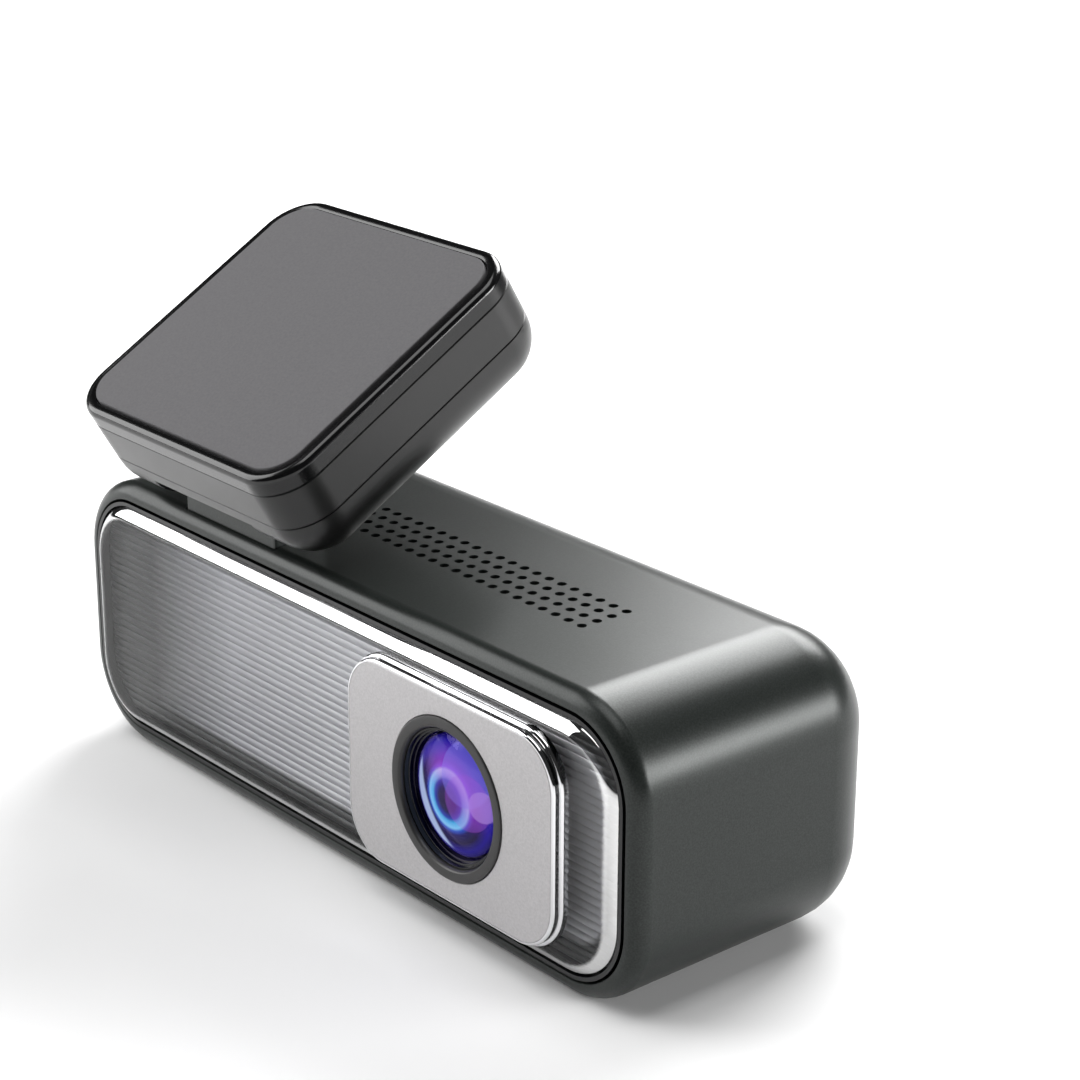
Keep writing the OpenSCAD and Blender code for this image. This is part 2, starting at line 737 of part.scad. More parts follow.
module hinge_washers() color("#d0d2d4")
  in_mount() for (middle = [0.4 - pocket_w / 2, pocket_w / 2 - 0.4]) difference() {
    cross_bar(middle - washer_t / 2, middle + washer_t / 2, bolt_r + 1.4);
    cross_bar(-pocket_w, pocket_w, bolt_r + running);
  }

// ---------- mount ----------

// What the hinge block sweeps through as the mount tilts from level to 60 degrees
module block_sweep()
  translate([-pocket_w / 2, 0, 0]) {
    cross_bar(0, pocket_w, pocket_r);
    rotate([90, 0, 90]) linear_extrude(pocket_w) polygon([
      [pocket_r, 0.2], [pocket_r, mount_bottom - through], [-mount_l / 2, mount_bottom - through],
      [-mount_l / 2, 0.7], [-6.6, 0.7], [-pocket_r / 2, pocket_r * sin(60)], [0, 0]
    ]);
  }

module mount_base() color("#1b1c1e")
  in_mount() difference() {
    union() {
      difference() {
        mount_outline(0, mount_bottom, frame_low, mount_low_r);
        mount_outline(mount_wall, mount_bottom + mount_wall, frame_low + through, mount_low_r - mount_wall);
      }
      at_mount_screws() translate([0, 0, mount_bottom + mount_wall - hair])
        cylinder(h = frame_low - mount_bottom - mount_wall + hair, r = mount_post_r);
      intersection() {
        mount_outline(0.4, mount_bottom, frame_low, mount_low_r - 0.4);
        translate([-pocket_w / 2 - ear_t, mount_shift - mount_l / 2, mount_bottom])
          cube([pocket_w + 2 * ear_t, pocket_r + mount_l / 2 - mount_shift + 1.4, mount_t]);
      }
      cross_bar(-pocket_w / 2 - ear_t, pocket_w / 2 + ear_t, bolt_r + 2);
    }
    block_sweep();
    cross_bar(-pocket_w / 2 - ear_t - through, pocket_w / 2 + ear_t + through, bolt_r + running);
    cross_bar(-mount_w, -pocket_w / 2 - ear_t, bolt_r + 0.7);
    cross_bar(pocket_w / 2 + ear_t, mount_w / 2 - mount_wall, bolt_r + 1.8);
    at_mount_screws() {
      translate([0, 0, mount_bottom - through]) cylinder(h = through + head_sink, r = head_r + 0.2);
      translate([0, 0, mount_bottom]) cylinder(h = mount_t, r = screw_r + 0.2);
    }
  }

module mount_frame() color("#1b1c1e")
  in_mount() difference() {
    union() {
      difference() {
        mount_outline(0, frame_low, frame_low + frame_layer);
        mount_outline(mount_wall, frame_low - through, frame_low + frame_layer + through);
      }
      at_mount_screws() {
        translate([0, 0, frame_low]) cylinder(h = frame_layer, r = mount_post_r);
        translate([1.5, -0.6, frame_low]) cube([mount_w / 2 - mount_screw_x - 2, 1.2, frame_layer]);
      }
    }
    at_mount_screws() translate([0, 0, frame_low - through])
      cylinder(h = frame_layer + 2 * through, r = screw_r + 0.2);
  }

module mount_plate() color("#2a2b2d")
  in_mount() difference() {
    mount_outline(0, mount_top - plate_layer, mount_top, 0, 0.8);
    mount_outline(film_margin - gap, mount_top - film_bed, mount_top + through);
    at_mount_screws() translate([0, 0, mount_top - plate_layer - through])
      cylinder(h = through + 1.2, r = pilot_r);
  }

module mount_screws() color("#8d9093")
  in_mount() at_mount_screws() translate([0, 0, mount_bottom + head_sink]) {
    translate([0, 0, -head_t]) cylinder(h = head_t, r = head_r);
    cylinder(h = mount_t - plate_layer - head_sink + 1.1, r = screw_r);
  }

module adhesive_film() color("#75747a")
  in_mount() mount_outline(film_margin, mount_top - film_bed, mount_top - film_bed + film_t);

// ---------- what is drawn ----------

shell();
rear_cover();
power_button();
record_button();
light_guide();
front_bezel();
front_window();
reeded_panel();
front_screws();
lens_frame();
lens_plate();
lens_ring();
lens_hood();
front_glass();
second_glass();
aperture_ring();
rear_glass();
glass_retainer();
lens_barrel();
lens_holder();
lens_screws();
infrared_filter();
image_sensor();
sensor_board();
flex_cable();
flex_connectors();
chassis();
board_screws();
main_board();
processor();
memory_chip();
wireless_module();
thermal_pad();
heat_sink();
speaker();
speaker_cone();
speaker_gasket();
backup_capacitors();
microphone();
status_led();
button_switches();
usb_socket();
usb_tongue();
rear_camera_jack();
card_socket();
memory_card();
hinge_block();
block_screws();
hinge_bolt();
hinge_nut();
hinge_washers();
mount_base();
mount_frame();
mount_plate();
mount_screws();
adhesive_film();
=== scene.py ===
import json
from math import asin, cos, pi, radians, sin, sqrt

import bmesh
import bpy
from mathutils import Matrix, Vector


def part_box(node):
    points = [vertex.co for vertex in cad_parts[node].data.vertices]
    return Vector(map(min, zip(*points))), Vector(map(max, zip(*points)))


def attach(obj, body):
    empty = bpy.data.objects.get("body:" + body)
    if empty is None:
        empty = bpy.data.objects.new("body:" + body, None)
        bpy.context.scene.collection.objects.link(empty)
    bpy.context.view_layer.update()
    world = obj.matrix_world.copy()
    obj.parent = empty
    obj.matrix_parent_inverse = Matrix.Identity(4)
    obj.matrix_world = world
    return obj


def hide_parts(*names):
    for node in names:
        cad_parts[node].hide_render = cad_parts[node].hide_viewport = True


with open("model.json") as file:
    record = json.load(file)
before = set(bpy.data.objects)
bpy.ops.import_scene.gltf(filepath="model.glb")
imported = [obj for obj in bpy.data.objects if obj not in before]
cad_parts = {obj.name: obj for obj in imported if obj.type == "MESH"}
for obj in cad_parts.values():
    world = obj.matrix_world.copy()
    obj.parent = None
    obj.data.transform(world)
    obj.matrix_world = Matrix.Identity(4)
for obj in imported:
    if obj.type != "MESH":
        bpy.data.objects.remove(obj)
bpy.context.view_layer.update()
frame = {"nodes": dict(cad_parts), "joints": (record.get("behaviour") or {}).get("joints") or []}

# ---------- camera ----------
# A long lens looks down on the lens end of the camera body, a little above and to its right.
# It aims beside the middle of the body, so that the mount sits inside the frame too.
MM = 0.001
scene = bpy.context.scene
body_low, body_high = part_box("shell")
rise, bearing, roll = radians(20.152), radians(49.581), radians(0.266)
back = Vector((sin(bearing) * cos(rise), -cos(bearing) * cos(rise), sin(rise)))
level = Vector((cos(bearing), sin(bearing), 0))
right = level * cos(roll) + back.cross(level) * sin(roll)
up = back.cross(right)
lens_data = bpy.data.cameras.new("camera")
lens_data.lens = 88.613
lens_data.clip_start = 0.01
camera = bpy.data.objects.new("camera", lens_data)
scene.collection.objects.link(camera)
body_middle = Vector((0, 0, (body_low.z + body_high.z) / 2))
stand = body_middle + (back * 302.286 + right * 9.317 + up * 15.895) * MM
camera.matrix_world = Matrix.Translation(stand) @ Matrix((right, up, back)).transposed().to_4x4()
scene.camera = camera

# ---------- floor and light ----------
# A pale matt floor, two soft boxes behind, one low and one high, and a strip in front on the
# left. What is left between them stays dark, so that bright trim shows black and white bands.


def linear(hexa):
    """An sRGB hex colour as linear red, green, blue and alpha."""
    parts = [int(hexa[i:i + 2], 16) / 255 for i in (1, 3, 5)]
    return [c / 12.92 if c <= 0.04045 else ((c + 0.055) / 1.055) ** 2.4 for c in parts] + [1]


def add(tree, kind, values=None, links=None, **settings):
    """Adds a node: settings are its own, values go on its inputs, and links feed them."""
    node = tree.nodes.new(kind)
    for name, value in settings.items():
        setattr(node, name, value)
    for key, value in (values or {}).items():
        node.inputs[key].default_value = value
    for key, socket in (links or {}).items():
        tree.links.new(socket, node.inputs[key])
    return node


def new_material(name):
    """An empty material and its node tree."""
    made = bpy.data.materials.new(name)
    made.use_nodes = True
    made.node_tree.nodes.clear()
    return made, made.node_tree


def clouds(tree, grain, detail=3.0, place=None):
    """Soft noise over the object's own coordinates, with a grain size in mm."""
    place = place or add(tree, "ShaderNodeTexCoord").outputs["Object"]
    noise = add(tree, "ShaderNodeTexNoise", {"Scale": 1 / (grain * MM), "Detail": detail}, {"Vector": place})
    return noise.outputs[0]


def between(tree, share, low, high):
    """A number that runs from low to high as a share goes from 0 to 1."""
    return add(tree, "ShaderNodeMapRange", {"To Min": low, "To Max": high}, {"Value": share}).outputs[0]


def tones(tree, share, *stops):
    """A colour that runs through (position, hex colour) stops."""
    ramp = add(tree, "ShaderNodeValToRGB", links={0: share})
    for _ in stops[2:]:
        ramp.color_ramp.elements.new(0.5)
    for stop, (at, colour) in zip(ramp.color_ramp.elements, stops):
        stop.position, stop.color = at, linear(colour)
    return ramp.outputs[0]


def blend(tree, amount, low, high):
    """A colour between two, each a hex colour or a socket, by a mask."""
    ends = {6: low, 7: high}
    values = {key: linear(end) for key, end in ends.items() if isinstance(end, str)}
    links = {key: end for key, end in ends.items() if not isinstance(end, str)}
    return add(tree, "ShaderNodeMix", values, {0: amount, **links}, data_type="RGBA").outputs[2]


def bumps(tree, strength, depth, height):
    """A surface normal with small bumps, of a depth in mm."""
    bump = add(tree, "ShaderNodeBump", {"Strength": strength, "Distance": depth * MM}, {"Height": height})
    return bump.outputs[0]


def surfaced(made, shader):
    """Ends a material with its surface."""
    add(made.node_tree, "ShaderNodeOutputMaterial", links={"Surface": shader.outputs[0]})
    return made


def principled(made, values, links):
    """Ends a material with one principled surface."""
    return surfaced(made, add(made.node_tree, "ShaderNodeBsdfPrincipled", values, links))


def matt_floor():
    """Pale seamless paper: no gloss at all, so it only shows soft shadows."""
    made, tree = new_material("matt_paper_floor")
    return surfaced(made, add(tree, "ShaderNodeBsdfDiffuse", {"Color": linear("#fafafa")}))


bpy.ops.mesh.primitive_plane_add(size=30)
floor = bpy.context.object
floor.name = "floor"
floor.data.materials.append(matt_floor())


def soft_box(name, direction, distance, width, height, radiance):
    """An area light that faces the body from a direction, with the brightness of its face."""
    data = bpy.data.lights.new(name, "AREA")
    data.shape = "RECTANGLE"
    data.size, data.size_y = width, height
    data.energy = radiance * pi * width * height
    light = bpy.data.objects.new(name, data)
    scene.collection.objects.link(light)
    away = Vector(direction).normalized()
    light.location = body_middle + away * distance
    light.rotation_mode = "QUATERNION"
    light.rotation_quaternion = away.to_track_quat("Z", "Y")


soft_box("strip_front_left", (-0.715, -0.50, 0.42), 0.8, 0.60, 0.66, 4.6)
soft_box("box_back_left", (-0.33, 0.76, 0.62), 0.9, 0.60, 0.46, 12)
soft_box("box_back_right", (0.80, 0.60, 0.22), 0.9, 0.5, 0.22, 16)
soft_box("box_overhead", (0.0, -0.10, 1.0), 1.3, 0.9, 0.9, 3.2)

sky = bpy.data.worlds.new("studio")
scene.world = sky
sky.use_nodes = True
sky.node_tree.nodes.clear()
room = add(sky.node_tree, "ShaderNodeBackground", {"Color": linear("#ffffff"), "Strength": 0.03})
page = add(sky.node_tree, "ShaderNodeBackground", {"Color": linear("#ffffff"), "Strength": 1.0})
path = add(sky.node_tree, "ShaderNodeLightPath")
either = add(sky.node_tree, "ShaderNodeMixShader", links={
    0: path.outputs["Is Camera Ray"], 1: room.outputs[0], 2: page.outputs[0]})
add(sky.node_tree, "ShaderNodeOutputWorld", links={"Surface": either.outputs[0]})
scene.view_settings.view_transform = "Standard"

# ---------- shell ----------
# The camera's body is one deep rounded tray, injection moulded in ABS and painted satin
# gunmetal. It is open at the front, and its top is drilled with a block of vent holes.
CORNER_STEPS = 14
ARC_STEPS = 10


def rounded(width, height, radius, inset=0.0):
    """Points of a rounded rectangle, anticlockwise, brought in by inset. Sizes are in mm."""
    r = max(radius - inset, 0.02)
    a, b = width / 2 - inset - r, height / 2 - inset - r
    points = []
    for quarter, (x, y) in enumerate([(a, b), (-a, b), (-a, -b), (a, -b)]):
        for step in range(CORNER_STEPS + 1):
            turn = (quarter + step / CORNER_STEPS) * pi / 2
            points.append((x + r * cos(turn), y + r * sin(turn)))
    return points


def circle(radius, steps=4 * (CORNER_STEPS + 1)):
    """Points of a circle, anticlockwise, as many as a rounded rectangle has."""
    return [(radius * cos(2 * pi * i / steps), radius * sin(2 * pi * i / steps)) for i in range(steps)]


def edge(radius, depth, way, inset=0.0, outward=False, count=ARC_STEPS):
    """(inset, depth) steps round a convex edge, from a piece's side up to its face at depth, or
    from the face out to the side when outward is true. way is 1 when the face looks towards
    greater depths, and -1 when it looks the other way."""
    steps = []
    for i in range(count + 1):
        turn = pi / 2 * i / count
        steps.append((inset + radius * (1 - cos(turn)), depth - way * radius * (1 - sin(turn))))
    return steps[::-1] if outward else steps


def on_front(u, v, d):
    """Across, up from the middle of the body, and back from its own middle plane, in mm."""
    return Vector((u * MM, d * MM, v * MM + body_middle.z))


def loft(name, rings, place=on_front, capped=True):
    """A closed solid through rings, each a (points, depth) pair with the same number of points."""
    mesh = bmesh.new()
    rows = [[mesh.verts.new(place(u, v, depth)) for u, v in points] for points, depth in rings]
    for low, high in zip(rows, rows[1:] if capped else rows[1:] + rows[:1]):
        for i in range(len(low)):
            j = (i + 1) % len(low)
            mesh.faces.new((low[i], low[j], high[j], high[i]))
    if capped:
        mesh.faces.new(rows[0][::-1])
        mesh.faces.new(rows[-1])
    return finished(name, mesh)


def finished(name, mesh, sharp=38):
    """Makes an object of a bmesh, with its faces outwards and smooth between sharp edges."""
    bmesh.ops.recalc_face_normals(mesh, faces=mesh.faces)
    data = bpy.data.meshes.new(name)
    mesh.to_mesh(data)
    mesh.free()
    data.shade_smooth()
    data.set_sharp_from_angle(angle=radians(sharp))
    made = bpy.data.objects.new(name, data)
    scene.collection.objects.link(made)
    return made


def flat_faces(piece):
    """Keeps broad flat faces flat beside their rounded edges."""
    weighted = piece.modifiers.new("flat_faces", "WEIGHTED_NORMAL")
    weighted.keep_sharp = True
    weighted.weight = 100


def settle(piece, material, body, *nodes):
    """Gives a piece its material and body, and lets it stand for its CAD nodes."""
    piece.data.materials.clear()
    piece.data.materials.append(material)
    for face in piece.data.polygons:
        face.material_index = 0
    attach(piece, body)
    if nodes:
        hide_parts(*nodes)
    return piece


def keep_result(piece):
    """Replaces a piece's mesh with what its modifiers make of it, and drops them."""
    shaped = bpy.data.meshes.new_from_object(piece.evaluated_get(bpy.context.evaluated_depsgraph_get()))
    piece.modifiers.clear()
    piece.data = shaped


def cut(piece, cutters):
    """Cuts closed solids out of a piece and drops them."""
    for cutter in cutters:
        knife = piece.modifiers.new("cut", "BOOLEAN")
        knife.operation, knife.solver, knife.object = "DIFFERENCE", "EXACT", cutter
    keep_result(piece)
    for cutter in cutters:
        bpy.data.objects.remove(cutter)
    piece.data.shade_smooth()
    piece.data.set_sharp_from_angle(angle=radians(38))


def extent(node):
    """The middle and the size of a CAD node, both in mm."""
    low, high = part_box(node)
    return (low + high) / 2 / MM, (high - low) / MM


def rod(name, axis, middle, radius, length, sides=48):
    """A closed bar along X, Y or Z about a middle point, in mm."""
    turn = {"X": Matrix.Rotation(pi / 2, 4, "Y"), "Y": Matrix.Rotation(pi / 2, 4, "X"), "Z": Matrix()}[axis]
    mesh = bmesh.new()
    bmesh.ops.create_cone(mesh, cap_ends=True, segments=sides, radius1=radius * MM, radius2=radius * MM,
                          depth=length * MM, matrix=Matrix.Translation(Vector(middle) * MM) @ turn)
    return finished(name, mesh)


def endways(middle):
    """How outlines stand across the left end: their points go across and up, their depth along X."""
    return lambda u, v, d: Vector((d, middle.y + u, middle.z + v)) * MM


def end_slot(name, node, clearance=0.2):
    """A cutter for a round-ended opening in the left end, round what sits behind it."""
    middle, size = extent(node)
    low_x = body_low.x / MM
    points = rounded(size.y + 2 * clearance, size.z + 2 * clearance, min(size.y, size.z) / 2 + clearance)
    return loft(name, [(points, low_x - 1), (points, low_x + 3.2)], endways(middle))


def grown(name, finish, sizes, wire, spots=()):
    """A mesh made by geometry nodes. sizes are (socket kind, value) pairs by name, wire adds the
    nodes and returns their instances, and spots, in mm, are points that they may stand on."""
    tree = bpy.data.node_groups.new(name, "GeometryNodeTree")
    tree.is_modifier = True
    tree.interface.new_socket("Geometry", in_out="INPUT", socket_type="NodeSocketGeometry")
    inputs = {**sizes, "Finish": ("NodeSocketMaterial", finish)}
    keys = {label: tree.interface.new_socket(label, in_out="INPUT", socket_type=kind).identifier
            for label, (kind, value) in inputs.items()}
    tree.interface.new_socket("Geometry", in_out="OUTPUT", socket_type="NodeSocketGeometry")
    given = add(tree, "NodeGroupInput").outputs
    solid = add(tree, "GeometryNodeRealizeInstances", links={0: wire(tree, given)})
    coloured = add(tree, "GeometryNodeSetMaterial", links={0: solid.outputs[0], "Material": given["Finish"]})
    add(tree, "NodeGroupOutput", links={0: coloured.outputs[0]})
    points = bpy.data.meshes.new(name)
    points.from_pydata([Vector(spot) * MM for spot in spots], [], [])
    holder = bpy.data.objects.new(name, points)
    scene.collection.objects.link(holder)
    maker = holder.modifiers.new(name, "NODES")
    maker.node_group = tree
    for label, (kind, value) in inputs.items():
        maker[keys[label]] = value
    keep_result(holder)
    return holder


def times(tree, value, factor):
    """A size times a plain number."""
    return add(tree, "ShaderNodeMath", {1: factor}, {0: value}, operation="MULTIPLY").outputs[0]


def vector(tree, **sockets):
    """A vector with sockets on its X, Y or Z, and zero elsewhere."""
    return add(tree, "ShaderNodeCombineXYZ", links=sockets).outputs[0]


def vent_block(tree, given):
    """A block of round cutters on a square grid, from its first hole."""
    row = add(tree, "GeometryNodeMeshLine", links={
        "Count": given["Columns"], "Start Location": given["First"],
        "Offset": vector(tree, X=given["Pitch"])})
    line = add(tree, "GeometryNodeMeshLine", links={
        "Count": given["Rows"], "Offset": vector(tree, Y=given["Pitch"])})
    spread = add(tree, "GeometryNodeInstanceOnPoints", links={
        "Points": line.outputs[0], "Instance": row.outputs[0]})
    points = add(tree, "GeometryNodeRealizeInstances", links={0: spread.outputs[0]})
    drill = add(tree, "GeometryNodeMeshCylinder", {"Vertices": 24, "Depth": 6 * MM},
                {"Radius": given["Radius"]})
    holes = add(tree, "GeometryNodeInstanceOnPoints", links={
        "Points": points.outputs[0], "Instance": drill.outputs["Mesh"]})
    return holes.outputs[0]


def satin_gunmetal():
    """ABS under a satin gunmetal paint: a dark grey-green with a soft broad sheen, and a fine
    speckle from the flake in it, drawn at 0.18 mm so that it shows."""
    made, tree = new_material("painted_abs_satin_gunmetal")
    flake = clouds(tree, 0.18, 2.0)
    return principled(made, {"Metallic": 0.25, "IOR": 1.42}, {
        "Base Color": tones(tree, flake, (0.35, "#202422"), (0.72, "#2e3230")),
        "Roughness": between(tree, clouds(tree, 14), 0.28, 0.34),
        "Normal": bumps(tree, 0.35, 0.012, flake)})


body_w = (body_high.x - body_low.x) / MM
body_h = (body_high.z - body_low.z) / MM
rim, rear = body_low.y / MM, body_high.y / MM
corner_r, back_r, front_r, wall = 10.2, 8.6, 1.9, 2.2
shell_path = edge(back_r - wall, rear - wall, 1, wall)[::-1] + [(wall, rim + 0.35), (wall - 0.25, rim)]
shell_path += edge(front_r, rim, -1, outward=True)
shell_path += edge(back_r, rear, 1)
shell = loft("shell", [(rounded(body_w, body_h, corner_r, i), d) for i, d in shell_path])

gunmetal = satin_gunmetal()
vent_pitch, vent_columns, vent_rows, vent_r = 2.07, 28, 4, 0.55
first_vent = Vector((-(vent_columns - 1) / 2 * vent_pitch - 0.3, rim + 12.1, body_high.z / MM)) * MM
vents = grown("vent_block", gunmetal, {
    "Columns": ("NodeSocketInt", vent_columns), "Rows": ("NodeSocketInt", vent_rows),
    "Pitch": ("NodeSocketFloat", vent_pitch * MM), "Radius": ("NodeSocketFloat", vent_r * MM),
    "First": ("NodeSocketVector", first_vent)}, vent_block)
panel_middle, panel_size = extent("rear_cover")
recess = rounded(panel_size.x + 0.2, panel_size.z + 0.2, 3)
block_middle, block_size = extent("hinge_block")
foot = rounded(block_size.x + 0.2, block_size.y + 0.2, 0.1)
cutters = [vents, end_slot("power_opening", "usb_socket"), end_slot("card_opening", "memory_card"),
           loft("panel_recess", [(recess, rear - 1.2), (recess, rear + 1)]),
           loft("block_recess", [(foot, body_high.z / MM - 0.6), (foot, body_high.z / MM + 1)],
                lambda u, v, d: Vector((block_middle.x + u, block_middle.y + v, d)) * MM)]
jack_middle = extent("rear_camera_jack")[0]
jack_opening_r, key_hole_r, guide_hole_r = 2.3, 3.7, 1.25
jack_centre = (body_low.x / MM + 1, jack_middle.y, jack_middle.z)
cutters.append(rod("jack_opening", "X", jack_centre, jack_opening_r, 4.4))
rear_holes = {"power_button": key_hole_r, "record_button": key_hole_r, "light_guide": guide_hole_r}
for node, hole_r in rear_holes.items():
    middle = extent(node)[0]
    cutters.append(rod(node + "_hole", "Y", (middle.x, rear, middle.z), hole_r, 8))
cut(shell, cutters)
flat_faces(shell)
settle(shell, gunmetal, "camera_body", "shell")

# ---------- front bezel ----------
# A gloss black moulded carrier behind the window. Only a thin line of it shows between the
# window and the rim of the shell, so the CAD piece stays as it is.


def moulded(name, colour, roughness, grain=0.0, ior=1.5, depth=0.02):
    """A moulded plastic: one colour, a gloss that wanders a little, and a grain size in mm."""
    made, tree = new_material(name)
    links = {"Roughness": between(tree, clouds(tree, 9, 4.0), roughness * 0.88, roughness * 1.12)}
    if grain:
        links["Normal"] = bumps(tree, 0.4, depth, clouds(tree, grain, 2.0))
    return principled(made, {"Base Color": linear(colour), "IOR": ior}, links)


def dress(material, *nodes):
    """Gives CAD nodes a material, and keeps them as they are otherwise."""
    for name in nodes:
        data = frame["nodes"][name].data
        data.materials.clear()
        data.materials.append(material)


# deep black with clean, sharp reflections
dress(moulded("gloss_black_polycarbonate", "#08090a", 0.10), "front_bezel")

# ---------- reeded panel ----------
# A strip of moulded plastic with half-round reeds along it, vacuum metallised dark silver.
# It lies under the window and is clipped to the bezel.


def panel_rim_shade(tree, place):
    """A mask of painted shade round the panel's rim: 1 where it is painted dark, 0 further in."""
    def step(operation, first, second=None):
        values = {1: second} if isinstance(second, tuple) else {}
        node = add(tree, "ShaderNodeVectorMath", values, {0: first}, operation=operation)
        return node.outputs["Value" if operation == "LENGTH" else 0]

    parts = add(tree, "ShaderNodeSeparateXYZ", links={0: place})
    flat = vector(tree, X=parts.outputs["X"], Z=parts.outputs["Z"])
    quarter = step("ABSOLUTE", step("SUBTRACT", flat, (reed_middle.x * MM, 0, body_middle.z)))
    corner = ((reed_size.x / 2 - panel_r) * MM, 1, (panel_h / 2 - panel_r) * MM)
    outward = step("LENGTH", step("MAXIMUM", step("SUBTRACT", quarter, corner), (0, 0, 0)))
    return add(tree, "ShaderNodeMapRange", {
        "From Min": (panel_r - rim_shade_width) * MM, "From Max": (panel_r - rim_shade_width + rim_shade_fade) * MM, "To Max": 0.92},
        {"Value": outward}).outputs[0]


def metallised_reeds():
    """Vacuum-metallised plastic: a soft silver with painted shade, darker towards one end and round the rim,
    under a clear lacquer that draws a thin bright line along each reed."""
    made, tree = new_material("metallised_plastic_silver_painted_shade")
    place = add(tree, "ShaderNodeTexCoord").outputs["Object"]
    stretched = add(tree, "ShaderNodeMapping", {"Scale": (0.01, 1, 1)}, {"Vector": place}).outputs[0]
    along = add(tree, "ShaderNodeSeparateXYZ", links={0: place}).outputs["X"]
    share = add(tree, "ShaderNodeMapRange", {"From Min": reed_low * MM, "From Max": end_shade_reach * MM},
                {"Value": along})
    # painted shade: the silver runs dark towards one end of the panel
    end_shaded_silver = tones(tree, share.outputs[0],
                  (0, "#0c0b0e"), (0.17, "#232126"), (0.47, "#b4b2b8"), (1, "#dad8dc"))
    return principled(made, {
        "Metallic": 0.3, "IOR": 1.2, "Coat Weight": 0.4, "Coat Roughness": 0.08, "Coat IOR": 1.5}, {
        # painted shade round the panel's rim darkens the colour there
        "Base Color": blend(tree, panel_rim_shade(tree, place), end_shaded_silver, "#0b0a0e"),
        "Roughness": between(tree, clouds(tree, 0.45, 2.0, stretched), 0.26, 0.31)})


def reed_rows(tree, given):
    """Half-round bars along X, stacked up Z."""
    half = times(tree, given["Pitch"], 0.5)
    arch = add(tree, "GeometryNodeCurveArc", {"Resolution": 14}, {
        "Start": vector(tree, Z=times(tree, half, -1.0)),
        "Middle": vector(tree, Y=times(tree, given["Depth"], -1.0)),
        "End": vector(tree, Z=half)}, mode="POINTS")
    profile = add(tree, "GeometryNodeCurveToMesh", links={"Curve": arch.outputs[0]})
    bar = add(tree, "GeometryNodeExtrudeMesh", links={
        "Mesh": profile.outputs[0], "Offset": vector(tree, X=given["Length"])}, mode="EDGES")
    start = vector(tree, X=times(tree, given["Length"], -0.5), Z=given["Lowest"])
    stack = add(tree, "GeometryNodeMeshLine", links={
        "Count": given["Count"], "Start Location": start, "Offset": vector(tree, Z=given["Pitch"])})
    rows = add(tree, "GeometryNodeInstanceOnPoints", links={
        "Points": stack.outputs[0], "Instance": bar.outputs["Mesh"]})
    return rows.outputs[0]


reed_middle, reed_size = extent("reeded_panel")
reed_low = reed_middle.x - reed_size.x / 2
panel_h, panel_r = reed_size.z, 6.96
# width and fade of the painted shade round the rim, and how far the painted shade at one end reaches
rim_shade_width, rim_shade_fade, end_shade_reach = 3.1, 0.7, 8
metallised = metallised_reeds()
reed_pitch, reed_depth = 0.91, 0.2
reed_count = int(panel_h / reed_pitch)
reeds = grown("reed_rows", metallised, {
    "Count": ("NodeSocketInt", reed_count), "Pitch": ("NodeSocketFloat", reed_pitch * MM),
    "Depth": ("NodeSocketFloat", reed_depth * MM), "Length": ("NodeSocketFloat", reed_size.x * MM),
    "Lowest": ("NodeSocketFloat", -(reed_count - 1) / 2 * reed_pitch * MM)}, reed_rows)


def panel_reach(up_from_middle):
    """Half the panel's length at a height: it follows the window's rounded corners."""
    over = abs(up_from_middle) - (panel_h / 2 - panel_r)
    return reed_size.x / 2 - panel_r + (sqrt(max(panel_r ** 2 - over ** 2, 0)) if over > 0 else panel_r)


sheet = bmesh.new()
sheet.from_mesh(reeds.data)
bmesh.ops.remove_doubles(sheet, verts=sheet.verts, dist=0.01 * MM)
for point in sheet.verts:
    reach = panel_reach(point.co.z / MM) * MM
    point.co.x = reach if point.co.x > 0 else -reach
    point.co += Vector((0, (reed_middle.y - reed_size.y / 2 + reed_depth) * MM, body_middle.z))
rim_edges = [e for e in sheet.edges if e.is_boundary]
skirt = bmesh.ops.extrude_edge_only(sheet, edges=rim_edges)["geom"]
for point in [g for g in skirt if isinstance(g, bmesh.types.BMVert)]:
    point.co.y = (reed_middle.y + reed_size.y / 2) * MM
bmesh.ops.holes_fill(sheet, edges=[e for e in sheet.edges if e.is_boundary])
bpy.data.objects.remove(reeds)
reeded_panel = finished("reeded_panel", sheet, sharp=50)
settle(reeded_panel, metallised, "camera_body", "reeded_panel")

# ---------- window ----------
# One clear injection-moulded acrylic cover with polished round edges, standing a little proud of
# the rim. It snaps into the bezel, and the lens frame passes through it.


def from_outside(tree, amount):
    """A reflection's share on the outside of a clear piece, and none on the way back out."""
    inside = add(tree, "ShaderNodeNewGeometry").outputs["Backfacing"]
    outside = add(tree, "ShaderNodeMath", {0: 1.0}, {1: inside}, operation="SUBTRACT")
    return add(tree, "ShaderNodeMath", links={0: amount, 1: outside.outputs[0]},
               operation="MULTIPLY").outputs[0]


def see_through(made, amount, through_colour, mirror_colour, roughness):
    """Ends a clear material: what shows through it, and a mirror's share over that."""
    tree = made.node_tree
    through = add(tree, "ShaderNodeBsdfTransparent", {"Color": linear(through_colour)})
    gloss = add(tree, "ShaderNodeBsdfGlossy", {"Color": linear(mirror_colour), "Roughness": roughness})
    return surfaced(made, add(tree, "ShaderNodeMixShader", links={
        0: from_outside(tree, amount), 1: through.outputs[0], 2: gloss.outputs[0]}))


